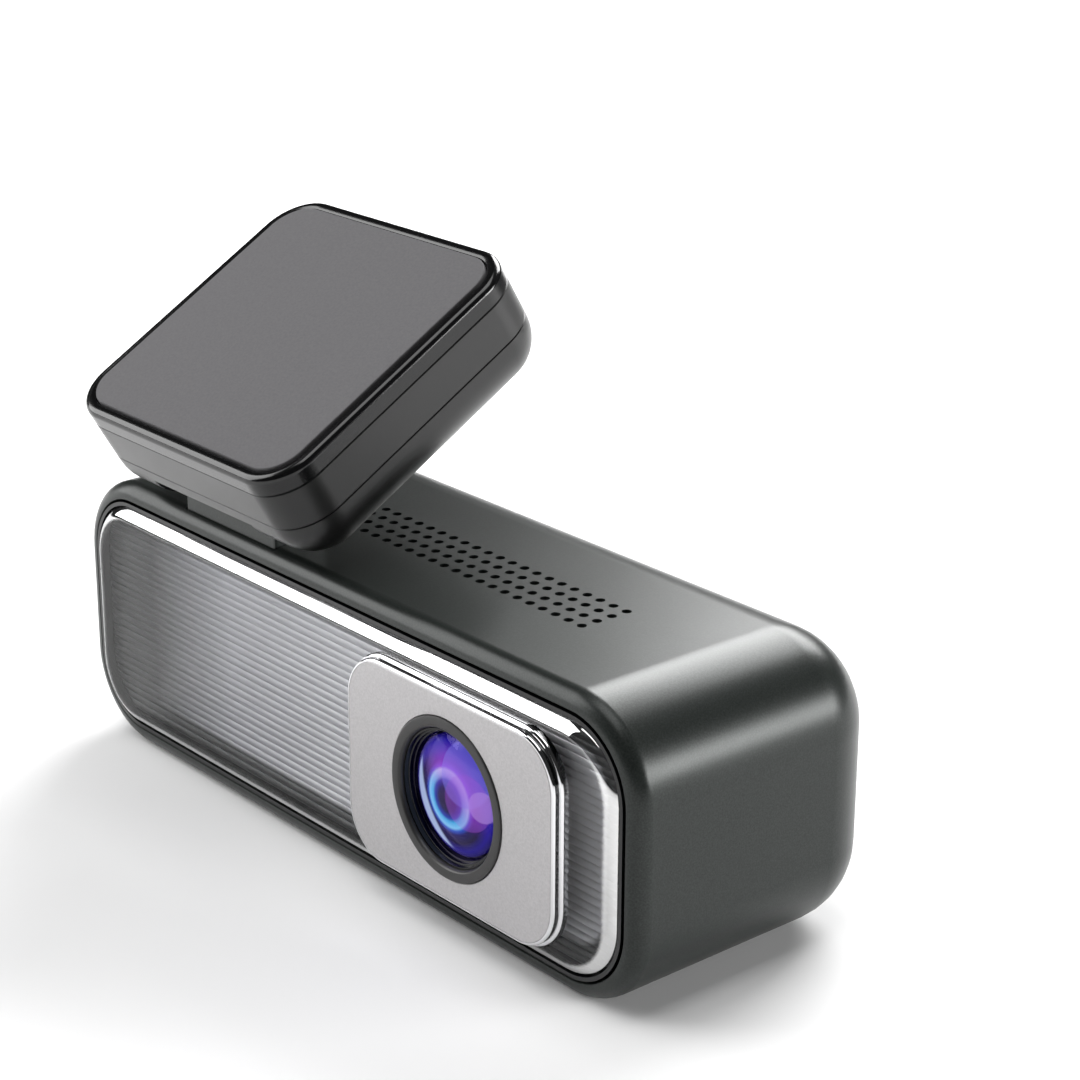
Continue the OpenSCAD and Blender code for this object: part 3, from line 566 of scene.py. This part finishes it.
def clear_acrylic():
    """Polished clear acrylic: the face only glints, while its thick round edge gathers light and
    shines like a glass rod, so the reflection is stronger where the surface turns away."""
    made, tree = new_material("polished_clear_acrylic")
    normal = add(tree, "ShaderNodeNewGeometry").outputs["True Normal"]
    flatness = times(tree, add(tree, "ShaderNodeSeparateXYZ", links={0: normal}).outputs["Y"], -1.0)
    turned_away = add(tree, "ShaderNodeMapRange",
                      {"From Min": 0.985, "From Max": 0.93, "To Min": 0.0, "To Max": 0.6},
                      {"Value": flatness}, interpolation_type="SMOOTHSTEP")
    sheen = add(tree, "ShaderNodeFresnel", {"IOR": 1.33})
    amount = add(tree, "ShaderNodeMath", links={0: turned_away.outputs[0], 1: sheen.outputs[0]},
                 operation="MAXIMUM")
    return see_through(made, amount.outputs[0], "#fbfcfc", "#ffffff", 0.03)


window_middle, window_size = extent("front_window")
window_front, window_back = window_middle.y - window_size.y / 2, window_middle.y + window_size.y / 2
window_r, window_edge = corner_r - (body_w - window_size.x) / 2, 1.6
edge_spread = 1.45
window_path = [(i * edge_spread, d)
               for i, d in edge(window_edge, window_front, -1, outward=True, count=2 * CORNER_STEPS)]
window_path += [(0, window_back - 0.1), (0.1, window_back)]
window = loft("front_window", [
    (rounded(window_size.x, window_size.z, window_r, i), d) for i, d in window_path])
frame_size = extent("lens_frame")[1]
plate_middle, plate_size = extent("lens_plate")
lens_x = plate_middle.x
plate_r = 5.2


def on_lens(u, v, d):
    """As on_front, but across from the lens axis."""
    return on_front(lens_x + u, v, d)


tenon = rounded(plate_size.x - 2.8, plate_size.z - 2.5, plate_r - 1.1)
cut(window, [loft("tenon_hole", [(tenon, window_front - 1), (tenon, window_back + 1)], on_lens)])
flat_faces(window)
settle(window, clear_acrylic(), "camera_body", "front_window")

# ---------- lens frame ----------
# A zinc casting, polished and chromed. Two rounded steps lead up to the silver plate that it
# carries, and its tenon passes through the window into the bezel.


def chrome():
    """Bright chrome plate: nearly a mirror, a touch warmer than the light it shows."""
    made = new_material("polished_chrome_plate")[0]
    return principled(made, {"Base Color": linear("#dcdcde"), "Metallic": 1.0, "Roughness": 0.06}, {})


plate_front = plate_middle.y - plate_size.y / 2
flare = (frame_size.x - plate_size.x) / 2
frame_w, frame_h, frame_r = frame_size.x, frame_size.z, plate_r + flare
step_y, face_y = window_front - 0.85, plate_front + 0.02
frame_path = [(0, window_front)] + edge(0.32, step_y, -1) + [(0.34, step_y - 0.05)]
frame_path += edge(0.34, face_y, -1, 0.34) + [(flare + 0.01, face_y + 0.1), (flare + 0.01, window_front)]
lens_frame = loft("lens_frame", [(rounded(frame_w, frame_h, frame_r, i), d) for i, d in frame_path],
                  on_lens, False)
flat_faces(lens_frame)
settle(lens_frame, chrome(), "camera_body", "lens_frame")

# ---------- lens plate ----------
# A stamped aluminium plate, bead blasted and clear anodised, glued into the frame. Its edge has
# a hair of a chamfer, cut bright.


def blasted_aluminium():
    """Fine bead-blasted and anodised aluminium: an even pale silver with almost no reflection,
    its 0.1 mm pits drawn at 0.2 mm."""
    made, tree = new_material("bead_blasted_anodised_aluminium")
    pits = clouds(tree, 0.2, 2.0)
    return principled(made, {"Metallic": 0.75, "Roughness": 0.55}, {
        "Base Color": tones(tree, pits, (0.3, "#b6b4b5"), (0.7, "#c2c0c1")),
        "Normal": bumps(tree, 0.3, 0.01, pits)})


ring_middle, ring_size = extent("lens_ring")
ring_r = ring_size.x / 2
plate_back = plate_middle.y + plate_size.y / 2


def turned(name, path, capped=False, place=on_lens):
    """A turned piece on the lens axis, from (radius, depth) steps."""
    return loft(name, [(circle(radius), depth) for radius, depth in path], place, capped)


plate_edge = [(0, plate_back), (0, plate_front + 0.1), (0.1, plate_front)]
lens_plate = loft("lens_plate", [
    (rounded(plate_size.x, plate_size.z, plate_r, i), d) for i, d in plate_edge], on_lens)
hole_path = [(ring_r + 0.03, plate_back + 1), (ring_r + 0.03, plate_front + 0.08),
             (ring_r + 0.11, plate_front), (ring_r + 0.11, plate_front - 1)]
cut(lens_plate, [turned("plate_hole", hole_path, True)])
flat_faces(lens_plate)
aluminium = blasted_aluminium()
settle(lens_plate, aluminium, "camera_body", "lens_plate")

# ---------- lens ring and hood ----------
# The ring is turned aluminium, anodised black, pressed into the frame. The hood inside it is a
# black moulded funnel that steps down to the front glass and keeps stray light out.
ring_front, ring_back = ring_middle.y - ring_size.y / 2, ring_middle.y + ring_size.y / 2
ring_bore, ring_edge = 7.62, 0.22
ring_path = [(ring_r, ring_back), (ring_r, ring_front + ring_edge), (ring_r - 0.07, ring_front + 0.06),
             (ring_r - ring_edge, ring_front), (ring_bore + 0.33, ring_front),
             (ring_bore + 0.18, ring_front + 0.1), (ring_bore, ring_front + 0.5), (ring_bore, ring_back)]
lens_ring = turned("lens_ring", ring_path)
flat_faces(lens_ring)
# dark charcoal with a dull broad sheen, like dyed aluminium
settle(lens_ring, moulded("black_anodised_aluminium", "#2a2929", 0.38, 0.15), "camera_body", "lens_ring")

glass_middle, glass_size = extent("front_glass")
hood_middle, hood_size = extent("lens_hood")
glass_r, dome_r = glass_size.x / 2, 18.0
hood_front, hood_back = hood_middle.y - hood_size.y / 2, hood_middle.y + hood_size.y / 2
hood_r, hood_bore = ring_bore - 0.07, 6.85
hood_path = [(hood_r, hood_back), (hood_r, hood_front), (hood_bore + 0.53, hood_front),
             (hood_bore + 0.45, hood_front + 0.45), (hood_bore + 0.29, hood_front + 0.5),
             (hood_bore + 0.25, hood_front + 0.9), (hood_bore + 0.09, hood_front + 0.95),
             (hood_bore + 0.05, hood_back - 0.1), (hood_bore, hood_back)]
lens_hood = turned("lens_hood", hood_path)
# very dark and quiet, so that the steps only just show
settle(lens_hood, moulded("gloss_black_hood", "#020203", 0.16, 0.0, 1.38), "camera_body", "lens_hood")

# ---------- lens glass ----------
# Two ground glasses with anti-reflection coatings, cemented in a black barrel: a thin meniscus,
# and a thick dome behind it. The coatings send violet and blue back from clear glass.


def coated_glass():
    """Multi-coated glass: clear, but what it mirrors comes back violet blue."""
    made, tree = new_material("violet_coated_glass")
    sheen = add(tree, "ShaderNodeFresnel", {"IOR": 1.25})
    return see_through(made, sheen.outputs[0], "#f3f0ff", "#c9b8ff", 0.02)


def coating_colours(name, cool, warm, glow):
    """Painted reflections of a coated lens, given as glow. Rings of colour run out from the axis, cooler low
    down and warmer high up. Pale veils and a bright crescent of painted reflection lie over them where one
    glass shows another, and the glow stands for the light that the glasses send back."""
    made, tree = new_material(name)
    parts = add(tree, "ShaderNodeSeparateXYZ", links={0: add(tree, "ShaderNodeTexCoord").outputs["Object"]})
    flat = vector(tree, X=parts.outputs["X"], Y=parts.outputs["Z"])

    def away(u, v):
        """The distance from a point beside the lens axis."""
        spot = ((lens_x + u) * MM, v * MM + body_middle.z, 0)
        return add(tree, "ShaderNodeVectorMath", {1: spot}, {0: flat}, operation="DISTANCE").outputs["Value"]

    def disc(u, v, radius, soft, strength=1.0):
        """A mask that is full inside a circle and nothing outside it."""
        return add(tree, "ShaderNodeMapRange", {
            "From Min": (radius + soft) * MM, "From Max": (radius - soft) * MM, "To Max": strength},
            {"Value": away(u, v)}).outputs[0]

    share = times(tree, away(*ring_centre), 1 / (glass_r * MM))
    slope = add(tree, "ShaderNodeVectorMath", {1: (*warm_way, 0)}, {0: flat}, operation="DOT_PRODUCT")
    level = (warm_way[0] * lens_x + warm_way[1] * body_middle.z / MM) * MM
    lean = add(tree, "ShaderNodeMapRange", {"From Min": level - 1.6 * MM, "From Max": level + 3.4 * MM},
               {"Value": slope.outputs["Value"]}, interpolation_type="SMOOTHSTEP").outputs[0]
    shade = blend(tree, lean, tones(tree, share, *cool), tones(tree, share, *warm))
    # painted reflections: pale veils over the rings, then a bright crescent
    for colour, veil in reflection_veils:
        shade = blend(tree, disc(*veil), shade, colour)
    outer, inner = reflection_crescent
    past_inner = add(tree, "ShaderNodeMath", {0: 1.0}, {1: disc(*inner)}, operation="SUBTRACT")
    sliver = add(tree, "ShaderNodeMath", links={0: past_inner.outputs[0], 1: disc(*outer)},
                 operation="MULTIPLY")
    # the painted reflections go out as glow, though no lamp is here
    return principled(made, {
        "Base Color": linear("#08060f"), "Roughness": 0.12, "IOR": 1.25, "Emission Strength": glow},
        {"Emission Color": blend(tree, sliver.outputs[0], shade, "#cdeaf5")})


def dome_arc(radius, curve, top, steps=14):
    """(radius, depth) steps down a round face, from the axis out to a radius."""
    widest = asin(radius / curve)
    return [(max(curve * sin(widest * i / steps), 0.02), top + curve * (1 - cos(widest * i / steps)))
            for i in range(steps + 1)]


glass_top = glass_middle.y - glass_size.y / 2
skin = 0.5
front_glass = turned("front_glass", dome_arc(glass_r, dome_r, glass_top) +
                     dome_arc(glass_r - 0.2, dome_r - skin, glass_top + skin)[::-1], True)
settle(front_glass, coated_glass(), "camera_body", "front_glass")
ring_centre, warm_way = (-0.1, -0.1), (0.45, 0.89)
# painted reflections: colour and (across, up, radius, softness, strength) of each pale veil, and the two
# discs of the crescent
reflection_veils = [("#8f8cf0", (2.2, 3.3, 3.5, 0.06, 0.42)), ("#b45fdc", (2.7, 0.3, 3.1, 0.06, 0.3)),
         ("#cda4e6", (4.8, 0.5, 1.7, 0.08, 0.5))]
reflection_crescent = (0, 0, 6.1, 0.12, 0.85), (10.3, 6.0, 16.2, 0.25)
# colours of the painted reflection rings, cool below and warm above
cool_rings = [(0.0, "#07051c"), (0.2, "#050b34"), (0.31, "#1540a8"), (0.37, "#4cc8ea"), (0.46, "#8fe4f6"),
              (0.51, "#2058c0"), (0.58, "#0d0650"), (0.72, "#050222"), (0.86, "#170a86"), (1.0, "#02010f")]
warm_rings = [(0.0, "#5a3470"), (0.2, "#3d1c6c"), (0.31, "#6a2ca8"), (0.37, "#cf8ee0"), (0.46, "#eac0f0"),
              (0.51, "#b04ce0"), (0.60, "#8a22ba"), (0.75, "#5a2eb4"), (0.88, "#2414a0"), (1.0, "#05031c")]
second_r, second_top, second_back = glass_r - 0.25, glass_top + 0.65, glass_top + 3.3
second_glass = turned("second_glass", dome_arc(second_r, dome_r - 0.6, second_top) +
                      [(second_r, second_back), (0.02, second_back)], True)
settle(second_glass, coating_colours("violet_blue_lens_painted_reflections", cool_rings, warm_rings, 0.85),
       "camera_body", "second_glass")

# ---------- hinge block ----------
# A moulded block, screwed to the shell's top from inside, in the same finish. Its round upper
# end is the knuckle that the mount's bolt passes through.
pin = Vector(next(j["pos_m"] for j in frame["joints"] if j["name"] == "mount_tilt")) / MM
knuckle_r, bore_r = block_size.y / 2, 1.53
block_foot = block_middle.z - block_size.z / 2 - pin.z


def knuckle(inset):
    """The block's outline from the side, about the bolt: round above, square below."""
    r = knuckle_r - inset
    arch = [(r * cos(pi * i / 24), r * sin(pi * i / 24)) for i in range(25)]
    return arch + [(-r, block_foot + inset), (r, block_foot + inset)]


def by_pin(u, v, d):
    """Back and up from the bolt's axis, and along it from the mount's middle."""
    return Vector((pin.x + d, pin.y + u, pin.z + v)) * MM


half_w, block_edge = block_size.x / 2, 0.4
block_path = [(block_edge, -half_w), (block_edge * 0.3, -half_w + block_edge * 0.3),
              (0, -half_w + block_edge)]
block_path += [(i, -d) for i, d in block_path[::-1]]
hinge_block = loft("hinge_block", [(knuckle(i), d) for i, d in block_path], by_pin)
cut(hinge_block, [rod("bore", "X", pin, bore_r, block_size.x + 2)])
flat_faces(hinge_block)
settle(hinge_block, gunmetal, "camera_body", "hinge_block")

# ---------- mount ----------
# Three moulded layers in black ABS, screwed together: a base with a rounded lower edge and a
# pocket for the block, a middle frame, and a top plate whose bead surrounds the adhesive.
tilt = radians(30.5)
mount_w, mount_l, mount_r = 41.5, 38.8, 5.8
mount_low, base_top, frame_top, mount_top = -4.1, 2.4, 7.4, 9.8
mount_shift = mount_l / 2 - 7.8
seam = 0.12


def on_mount(u, v, d):
    """Across, up the slope from the bolt, and out towards the glass."""
    return Vector((pin.x + u, pin.y + v * cos(tilt) - d * sin(tilt),
                   pin.z + v * sin(tilt) + d * cos(tilt))) * MM


def mount_ring(inset, d):
    """The mount's outline, brought in by inset."""
    return [(u, v + mount_shift) for u, v in rounded(mount_w, mount_l, mount_r, inset)], d


def mount_layer(name, path):
    """A closed layer of the mount from (inset, depth) steps."""
    return loft(name, [mount_ring(i, d) for i, d in path], on_mount)


# nearly black with a soft satin sheen and a fine moulded grain
mount_black = moulded("satin_black_abs", "#080808", 0.33, 0.25, 1.55, 0.012)
base_path = edge(5.5, mount_low, -1, outward=True) + [(0, base_top - seam), (seam, base_top)]
mount_base = mount_layer("mount_base", base_path)
pocket_r, pocket_w = 3.9, block_size.x + 1.6
notch = [(pocket_r, mount_low - 1)]
notch += [(pocket_r * cos(radians(a)), pocket_r * sin(radians(a))) for a in range(0, 121, 8)]
notch += [(-6.6, 0.7), (-9, 0.7), (-9, mount_low - 1)]


def mount_bores(radius, low, high):
    """Round cutters at the mount's four screws, in its own frame."""
    rings = [[(u + spot_u, v + spot_v) for u, v in circle(radius)] for spot_u, spot_v in mount_spots]
    return [loft("bore", [(ring, low), (ring, high)], on_mount) for ring in rings]


screw_rows = 6.1, mount_shift + mount_l / 2 - 6.4
mount_spots = [(side * (mount_w / 2 - 6.2), row) for side in (-1, 1) for row in screw_rows]
head_floor = mount_low + 2.4
well_r, screw_hole_r = 1.9, 1.0
pocket = loft("pocket", [(notch, -pocket_w / 2), (notch, pocket_w / 2)], lambda v, d, u: on_mount(u, v, d))
cut(mount_base, [pocket] + mount_bores(well_r, mount_low - 1, head_floor) +
    mount_bores(screw_hole_r, mount_low, base_top + 1))
flat_faces(mount_base)
settle(mount_base, mount_black, "glass_mount", "mount_base")
mount_frame = mount_layer("mount_frame", [
    (seam, base_top), (0, base_top + seam), (0, frame_top - seam), (seam, frame_top)])
cut(mount_frame, mount_bores(screw_hole_r, base_top - 1, frame_top + 1))
flat_faces(mount_frame)
settle(mount_frame, mount_black, "glass_mount", "mount_frame")
bead, recess_in, recess_t = 0.8, 1.55, 0.8
plate_path = [(seam, frame_top), (0, frame_top + seam)] + edge(bead, mount_top, 1)
plate_path += [(recess_in - 0.35, mount_top), (recess_in - 0.13, mount_top - 0.12),
               (recess_in - 0.02, mount_top - 0.4), (recess_in, mount_top - recess_t)]
mount_plate = mount_layer("mount_plate", plate_path)
flat_faces(mount_plate)
# a little glossier, so the bead catches a thin line of light
settle(mount_plate, moulded("gloss_black_abs_bead", "#0c0c0d", 0.16), "glass_mount", "mount_plate")

# ---------- adhesive ----------
# A sheet of grey acrylic foam tape, die cut with round corners and stuck in the plate's recess.


def foam_tape():
    """Acrylic foam tape under its liner: dead flat grey, with a very fine cloudy tooth."""
    made, tree = new_material("grey_acrylic_foam_tape")
    return principled(made, {"Roughness": 0.75, "IOR": 1.45}, {
        "Base Color": tones(tree, clouds(tree, 0.3), (0.3, "#5f5e60"), (0.7, "#666567"))})


film_low, film_top, film_in = mount_top - recess_t, mount_top + 0.2, recess_in + 0.1
film = mount_layer("adhesive_film", [
    (film_in, film_low), (film_in, film_top - 0.2), (film_in + 0.06, film_top - 0.06),
    (film_in + 0.2, film_top)])
flat_faces(film)
settle(film, foam_tape(), "glass_mount", "adhesive_film")

# ---------- screws ----------
# Zinc-plated pan-head screws with a cross recess and a rolled thread. One screw is made for each
# set and put in its places by geometry nodes.


def plated(name, colour, roughness, grain=0.6):
    """A bare or plated metal: one colour, and a gloss that wanders over a grain size in mm."""
    made, tree = new_material(name)
    return principled(made, {"Base Color": linear(colour), "Metallic": 1.0}, {
        "Roughness": between(tree, clouds(tree, grain), roughness * 0.8, roughness * 1.2)})


SCREW_R, HEAD_T, THREAD_PITCH, SLOT_W = 0.8, 1.2, 0.4, 0.42


def upright(u, v, d):
    """Across, along and up, in mm."""
    return Vector((u, v, d)) * MM


def pan_screw(head_r, length):
    """A screw along +Z with the underside of its head at zero."""
    path = [(0.02, -HEAD_T), (head_r * 0.6, -HEAD_T), (head_r * 0.88, -HEAD_T * 0.85),
            (head_r, -HEAD_T * 0.5), (head_r, 0), (SCREW_R, 0)]
    for turn in range(int((length - 1) / THREAD_PITCH)):
        depth = 0.3 + turn * THREAD_PITCH
        path += [(SCREW_R * 0.8, depth), (SCREW_R, depth + THREAD_PITCH / 2)]
    path += [(SCREW_R * 0.5, length - 0.1), (0.02, length)]
    screw = loft("screw", [(circle(r, 32), d) for r, d in path], upright)
    slots = [(-HEAD_T - 0.2, 0.66), (-HEAD_T, 0.6), (-HEAD_T + 0.75, 0.2)]
    bars = [[(rounded(2 * head_r * wide, SLOT_W, 0.1), d) for d, wide in slots],
            [(rounded(SLOT_W, 2 * head_r * wide, 0.1), d) for d, wide in slots]]
    cut(screw, [loft("cross", bar, upright) for bar in bars])
    return screw


def put_at(name, piece, spots, turn, material):
    """Copies of one piece at a set of places, all turned the same way, by geometry nodes."""
    def stand(tree, given):
        shape = add(tree, "GeometryNodeObjectInfo", links={"Object": given["Piece"]})
        placed = add(tree, "GeometryNodeInstanceOnPoints", links={
            "Points": given["Geometry"], "Instance": shape.outputs["Geometry"], "Rotation": given["Turn"]})
        return placed.outputs[0]

    copies = grown(name, material, {"Piece": ("NodeSocketObject", piece), "Turn": ("NodeSocketVector", turn)},
                   stand, spots)
    bpy.data.objects.remove(piece)
    return copies


zinc = plated("zinc_plated_steel", "#b9bcc0", 0.3)


def screw_set(node, head_r, length, way):
    """Screws at the corners of a CAD node's box that point along +Y, -Y or +Z."""
    middle, size = extent(node)
    sides = [middle.x - size.x / 2 + head_r, middle.x + size.x / 2 - head_r]
    if way == "+Z":
        under = middle.z - size.z / 2 + HEAD_T
        spots, turn = [(x, middle.y, under) for x in sides], (0, 0, 0)
    else:
        reach = size.z / 2 - head_r
        rows = [middle.z - reach, middle.z + reach] if size.z > 3 * head_r else [middle.z]
        ahead = way == "+Y"
        under = middle.y - size.y / 2 + HEAD_T if ahead else middle.y + size.y / 2 - HEAD_T
        spots = [(x, under, z) for x in sides for z in rows]
        turn = (-pi / 2 if ahead else pi / 2, 0, 0)
    settle(put_at(node, pan_screw(head_r, length), spots, turn, zinc), zinc, "camera_body", node)


head_r = 1.7
screw_set("front_screws", head_r, 9.4, "+Y")
screw_set("board_screws", head_r, 6.4, "-Y")
screw_set("lens_screws", head_r - 0.1, extent("lens_screws")[1].y - HEAD_T - 0.1, "-Y")
screw_set("block_screws", head_r, 6.1, "+Z")
mount_screws = put_at("mount_screws", pan_screw(head_r, 10.0),
                      [on_mount(u, v, head_floor) / MM for u, v in mount_spots], (tilt, 0, 0), zinc)
settle(mount_screws, zinc, "glass_mount", "mount_screws")

# ---------- hinge bolt ----------
# A steel shoulder bolt crosses the mount through the block. A nut draws the mount's cheeks
# against two washers, so that the tilt stays where it is put.
dress(zinc, "hinge_nut")
dress(plated("ground_steel_bolt", "#a9acb0", 0.22, 0.3), "hinge_bolt")
dress(plated("bright_steel_washers", "#c4c7ca", 0.26), "hinge_washers")

# ---------- rear panel and keys ----------
# A black moulded panel is glued in a recess in the shell's back. Two keys with dished caps, the
# end of a light guide and a pinhole for the microphone come through it.
panel_back = panel_middle.y + panel_size.y / 2
cover_path = [(0, panel_middle.y - panel_size.y / 2)] + edge(0.25, panel_back, 1)
rear_cover = loft("rear_cover", [(rounded(panel_size.x, panel_size.z, 2.9, i), d) for i, d in cover_path])
key_x = extent("record_button")[0].x
guide_middle, guide_size = extent("light_guide")
cap_hole_r, guide_way_r, pinhole_r = 3.75, 1.35, 0.5
cover_holes = [(-key_x, cap_hole_r), (key_x, cap_hole_r), (guide_middle.x, guide_way_r),
               (-guide_middle.x, pinhole_r)]
cut(rear_cover, [rod("hole", "Y", (x, panel_back, body_middle.z / MM), r, 6) for x, r in cover_holes])
flat_faces(rear_cover)
# dull black with a coarse tooth that breaks up the light
spark_black = moulded("spark_textured_black_abs", "#131415", 0.42, 0.45, depth=0.05)
settle(rear_cover, spark_black, "camera_body", "rear_cover")


STEM_R, FLANGE_R, CAP_R = 1.6, 4.5, 3.6


def key(node, material, body):
    """A push button: a dished cap over a flange and a stem."""
    middle, size = extent(node)
    low, high = middle.y - size.y / 2, middle.y + size.y / 2
    flange = y_flange - 0.8
    path = [(0.02, low), (STEM_R, low), (STEM_R, flange), (FLANGE_R, flange), (FLANGE_R, y_flange),
            (CAP_R, y_flange)]
    path += [(CAP_R - i, d) for i, d in edge(0.45, high, 1)]
    path += [(2.7, high - 0.08), (1.6, high - 0.24), (0.7, high - 0.31), (0.02, high - 0.33)]
    cap = turned(node, path, True, lambda u, v, d: on_front(middle.x + u, v, d))
    settle(cap, material, body, node)


y_flange = rear - wall - 0.05
# soft satin caps, one grey and one deep red, so that a finger finds the right one
key("power_button", moulded("satin_grey_key", "#3c3e3e", 0.38, 0.3), "power_key")
key("record_button", moulded("satin_red_key", "#7e241f", 0.38, 0.3), "record_key")


def frosted_guide():
    """Clear acrylic with a frosted end, cool from the diode behind it."""
    made, tree = new_material("frosted_acrylic_light_guide")
    return principled(made, {"Base Color": linear("#d5e6f0"), "Transmission Weight": 0.6, "IOR": 1.49}, {
        "Roughness": between(tree, clouds(tree, 0.2, 2.0), 0.25, 0.5)})


guide_low, guide_high = guide_middle.y - guide_size.y / 2, guide_middle.y + guide_size.y / 2
guide_path = [(0.02, guide_low), (1.2, guide_low), (1.2, guide_high - 0.2), (1.05, guide_high - 0.05),
              (0.7, guide_high), (0.02, guide_high)]
guide = turned("light_guide", guide_path, True, lambda u, v, d: on_front(guide_middle.x + u, v, d))
settle(guide, frosted_guide(), "camera_body", "light_guide")

# ---------- sockets and card ----------
# In the left end: a drawn steel power socket with a black tongue and gold contacts, a round jack
# for the rear camera, and the slot of the memory card, whose edge stands out to be gripped.
usb_middle, usb_size = extent("usb_socket")
usb_low, usb_high = usb_middle.x - usb_size.x / 2, usb_middle.x + usb_size.x / 2
usb_path = [(0, usb_high), (0, usb_low + 0.12), (0.1, usb_low), (0.26, usb_low), (0.35, usb_low + 0.1),
            (0.35, usb_high - 0.8)]
usb_r = min(usb_size.y, usb_size.z) / 2 - 0.02
usb_socket = loft("usb_socket", [(rounded(usb_size.y, usb_size.z, usb_r, i), d) for i, d in usb_path],
                  endways(usb_middle))
# bright steel round a dull black tongue, and warm gold on the contacts
settle(usb_socket, plated("drawn_steel_socket", "#c3c6c9", 0.22), "camera_body", "usb_socket")
dress(moulded("black_liquid_crystal_polymer", "#121212", 0.45), "usb_tongue", "rear_camera_jack")
tongue_middle, tongue_size = extent("usb_tongue")
contact_outline, contact_pitch, contacts_a_side = rounded(4.2, 0.34, 0.05), 1.0, 6
contact = loft("contact", [(contact_outline, -0.05), (contact_outline, 0.02)],
               lambda u, v, d: Vector((u, d, v)) * MM)
gold = plated("gold_plated_contacts", "#d8b25c", 0.18, 0.3)
contact_x = tongue_middle.x - tongue_size.x / 2 + 2.8
contact_spots = [(contact_x, tongue_middle.y + face * tongue_size.y / 2,
                  tongue_middle.z + (i - (contacts_a_side - 1) / 2) * contact_pitch)
                 for i in range(contacts_a_side) for face in (-1, 1)]
contacts = put_at("usb_contacts", contact, contact_spots, (0, 0, 0), gold)
settle(contacts, gold, "camera_body")
card_middle, card_size = extent("memory_card")
card_outer = card_middle.x - card_size.x / 2
card_inner, card_r = card_outer + card_size.x, 0.32
card_path = [(0.3, card_outer), (0.08, card_outer + 0.12), (0, card_outer + 0.4), (0, card_inner - 0.3),
             (0.15, card_inner)]
card = loft("memory_card", [(rounded(card_size.y, card_size.z, card_r, i), d) for i, d in card_path],
            endways(card_middle))
# black epoxy with a dull fine grain, held in a grey steel case
settle(card, moulded("black_epoxy_card", "#15181d", 0.5, 0.3), "card", "memory_card")
dress(plated("stamped_steel_card_socket", "#b0b3b6", 0.35), "card_socket")

# ---------- lens barrel and sensor ----------
# The barrel is turned aluminium, anodised black, and screws into a black moulded holder over the
# sensor. These pieces lie behind the glasses and keep their CAD shapes. All are dull and dark.
dress(moulded("dull_black_anodising", "#101011", 0.5, 0.12), "lens_barrel", "glass_retainer", "aperture_ring")
dress(moulded("black_glass_filled_nylon", "#191a1b", 0.55, 0.3), "lens_holder", "chassis")


def tinted_glass(name, through_colour, mirror_colour):
    """Thin coated glass: clear with a tint, and a tinted mirror where it turns away."""
    made, tree = new_material(name)
    sheen = add(tree, "ShaderNodeFresnel", {"IOR": 1.6})
    return see_through(made, sheen.outputs[0], through_colour, mirror_colour, 0.04)


dress(tinted_glass("green_coated_glass", "#d5efe6", "#8fe0c0"), "rear_glass")
dress(tinted_glass("infrared_blocking_glass", "#bfe4dc", "#e08080"), "infrared_filter")
# a dark blue-grey die, glossy as polished silicon is
dress(moulded("silicon_sensor_die", "#2f3a40", 0.12, 0.3), "image_sensor")

# ---------- boards and what is on them ----------
# Two glass-epoxy boards under green solder mask, joined by a flat cable, with black epoxy chips,
# a tinned shield over the radio and an aluminium heat sink on a soft thermal pad.


def solder_mask():
    """Glossy green mask over copper: tracks show as paler green lines, and pads as tin dots."""
    made, tree = new_material("green_solder_mask")
    place = add(tree, "ShaderNodeTexCoord").outputs["Object"]
    tracks = add(tree, "ShaderNodeTexVoronoi",
                 {"Scale": 1 / (2.4 * MM), "Randomness": 0.8}, {"Vector": place},
                 feature="DISTANCE_TO_EDGE")
    pads = add(tree, "ShaderNodeTexVoronoi", {"Scale": 1 / (1.7 * MM)}, {"Vector": place},
               distance="CHEBYCHEV")
    track = add(tree, "ShaderNodeMath", {1: 0.05}, {0: tracks.outputs["Distance"]}, operation="LESS_THAN")
    pad = add(tree, "ShaderNodeMath", {1: 0.13}, {0: pads.outputs["Distance"]}, operation="LESS_THAN")
    green = blend(tree, track.outputs[0], "#12402a", "#2a7048")
    return principled(made, {"Roughness": 0.3}, {
        "Base Color": blend(tree, pad.outputs[0], green, "#c9ccc8"), "Metallic": pad.outputs[0]})


def polyimide_film():
    """Amber polyimide with copper tracks along it, 0.5 mm apart."""
    made, tree = new_material("amber_polyimide_cable")
    place = add(tree, "ShaderNodeTexCoord").outputs["Object"]
    tracks = add(tree, "ShaderNodeTexWave", {"Scale": 0.314 / (0.5 * MM)}, {"Vector": place},
                 bands_direction="X")
    return principled(made, {"Roughness": 0.25}, {
        "Base Color": blend(tree, tracks.outputs["Fac"], "#9a5a1c", "#d08a3a")})


dress(solder_mask(), "sensor_board", "main_board")
dress(polyimide_film(), "flex_cable")
# Nylon and epoxy have a plain soft gloss, tin and steel a blurred mirror, foam and paper none.
dress(moulded("ivory_connector_nylon", "#d8d3c4", 0.5), "flex_connectors")
dress(moulded("matt_black_epoxy_chip", "#121315", 0.55, 0.25), "processor", "memory_chip", "button_switches")
dress(plated("tinned_shield_can", "#b7bbbd", 0.3), "wireless_module", "microphone")
dress(moulded("grey_blue_silicone_pad", "#8195a8", 0.8, 0.4), "thermal_pad")
dress(plated("extruded_aluminium", "#a9adb0", 0.38), "heat_sink")
dress(moulded("white_diode_package", "#e6e2d0", 0.35), "status_led")
dress(moulded("black_speaker_basket", "#1d1e20", 0.5, 0.3), "speaker")
dress(moulded("grey_paper_cone", "#5f5f5b", 0.85, 0.35, depth=0.06), "speaker_cone")
dress(moulded("black_open_cell_foam", "#0b0b0b", 0.95, 0.5, depth=0.15), "speaker_gasket")
dress(moulded("blue_shrink_sleeve", "#232c4c", 0.3), "backup_capacitors")
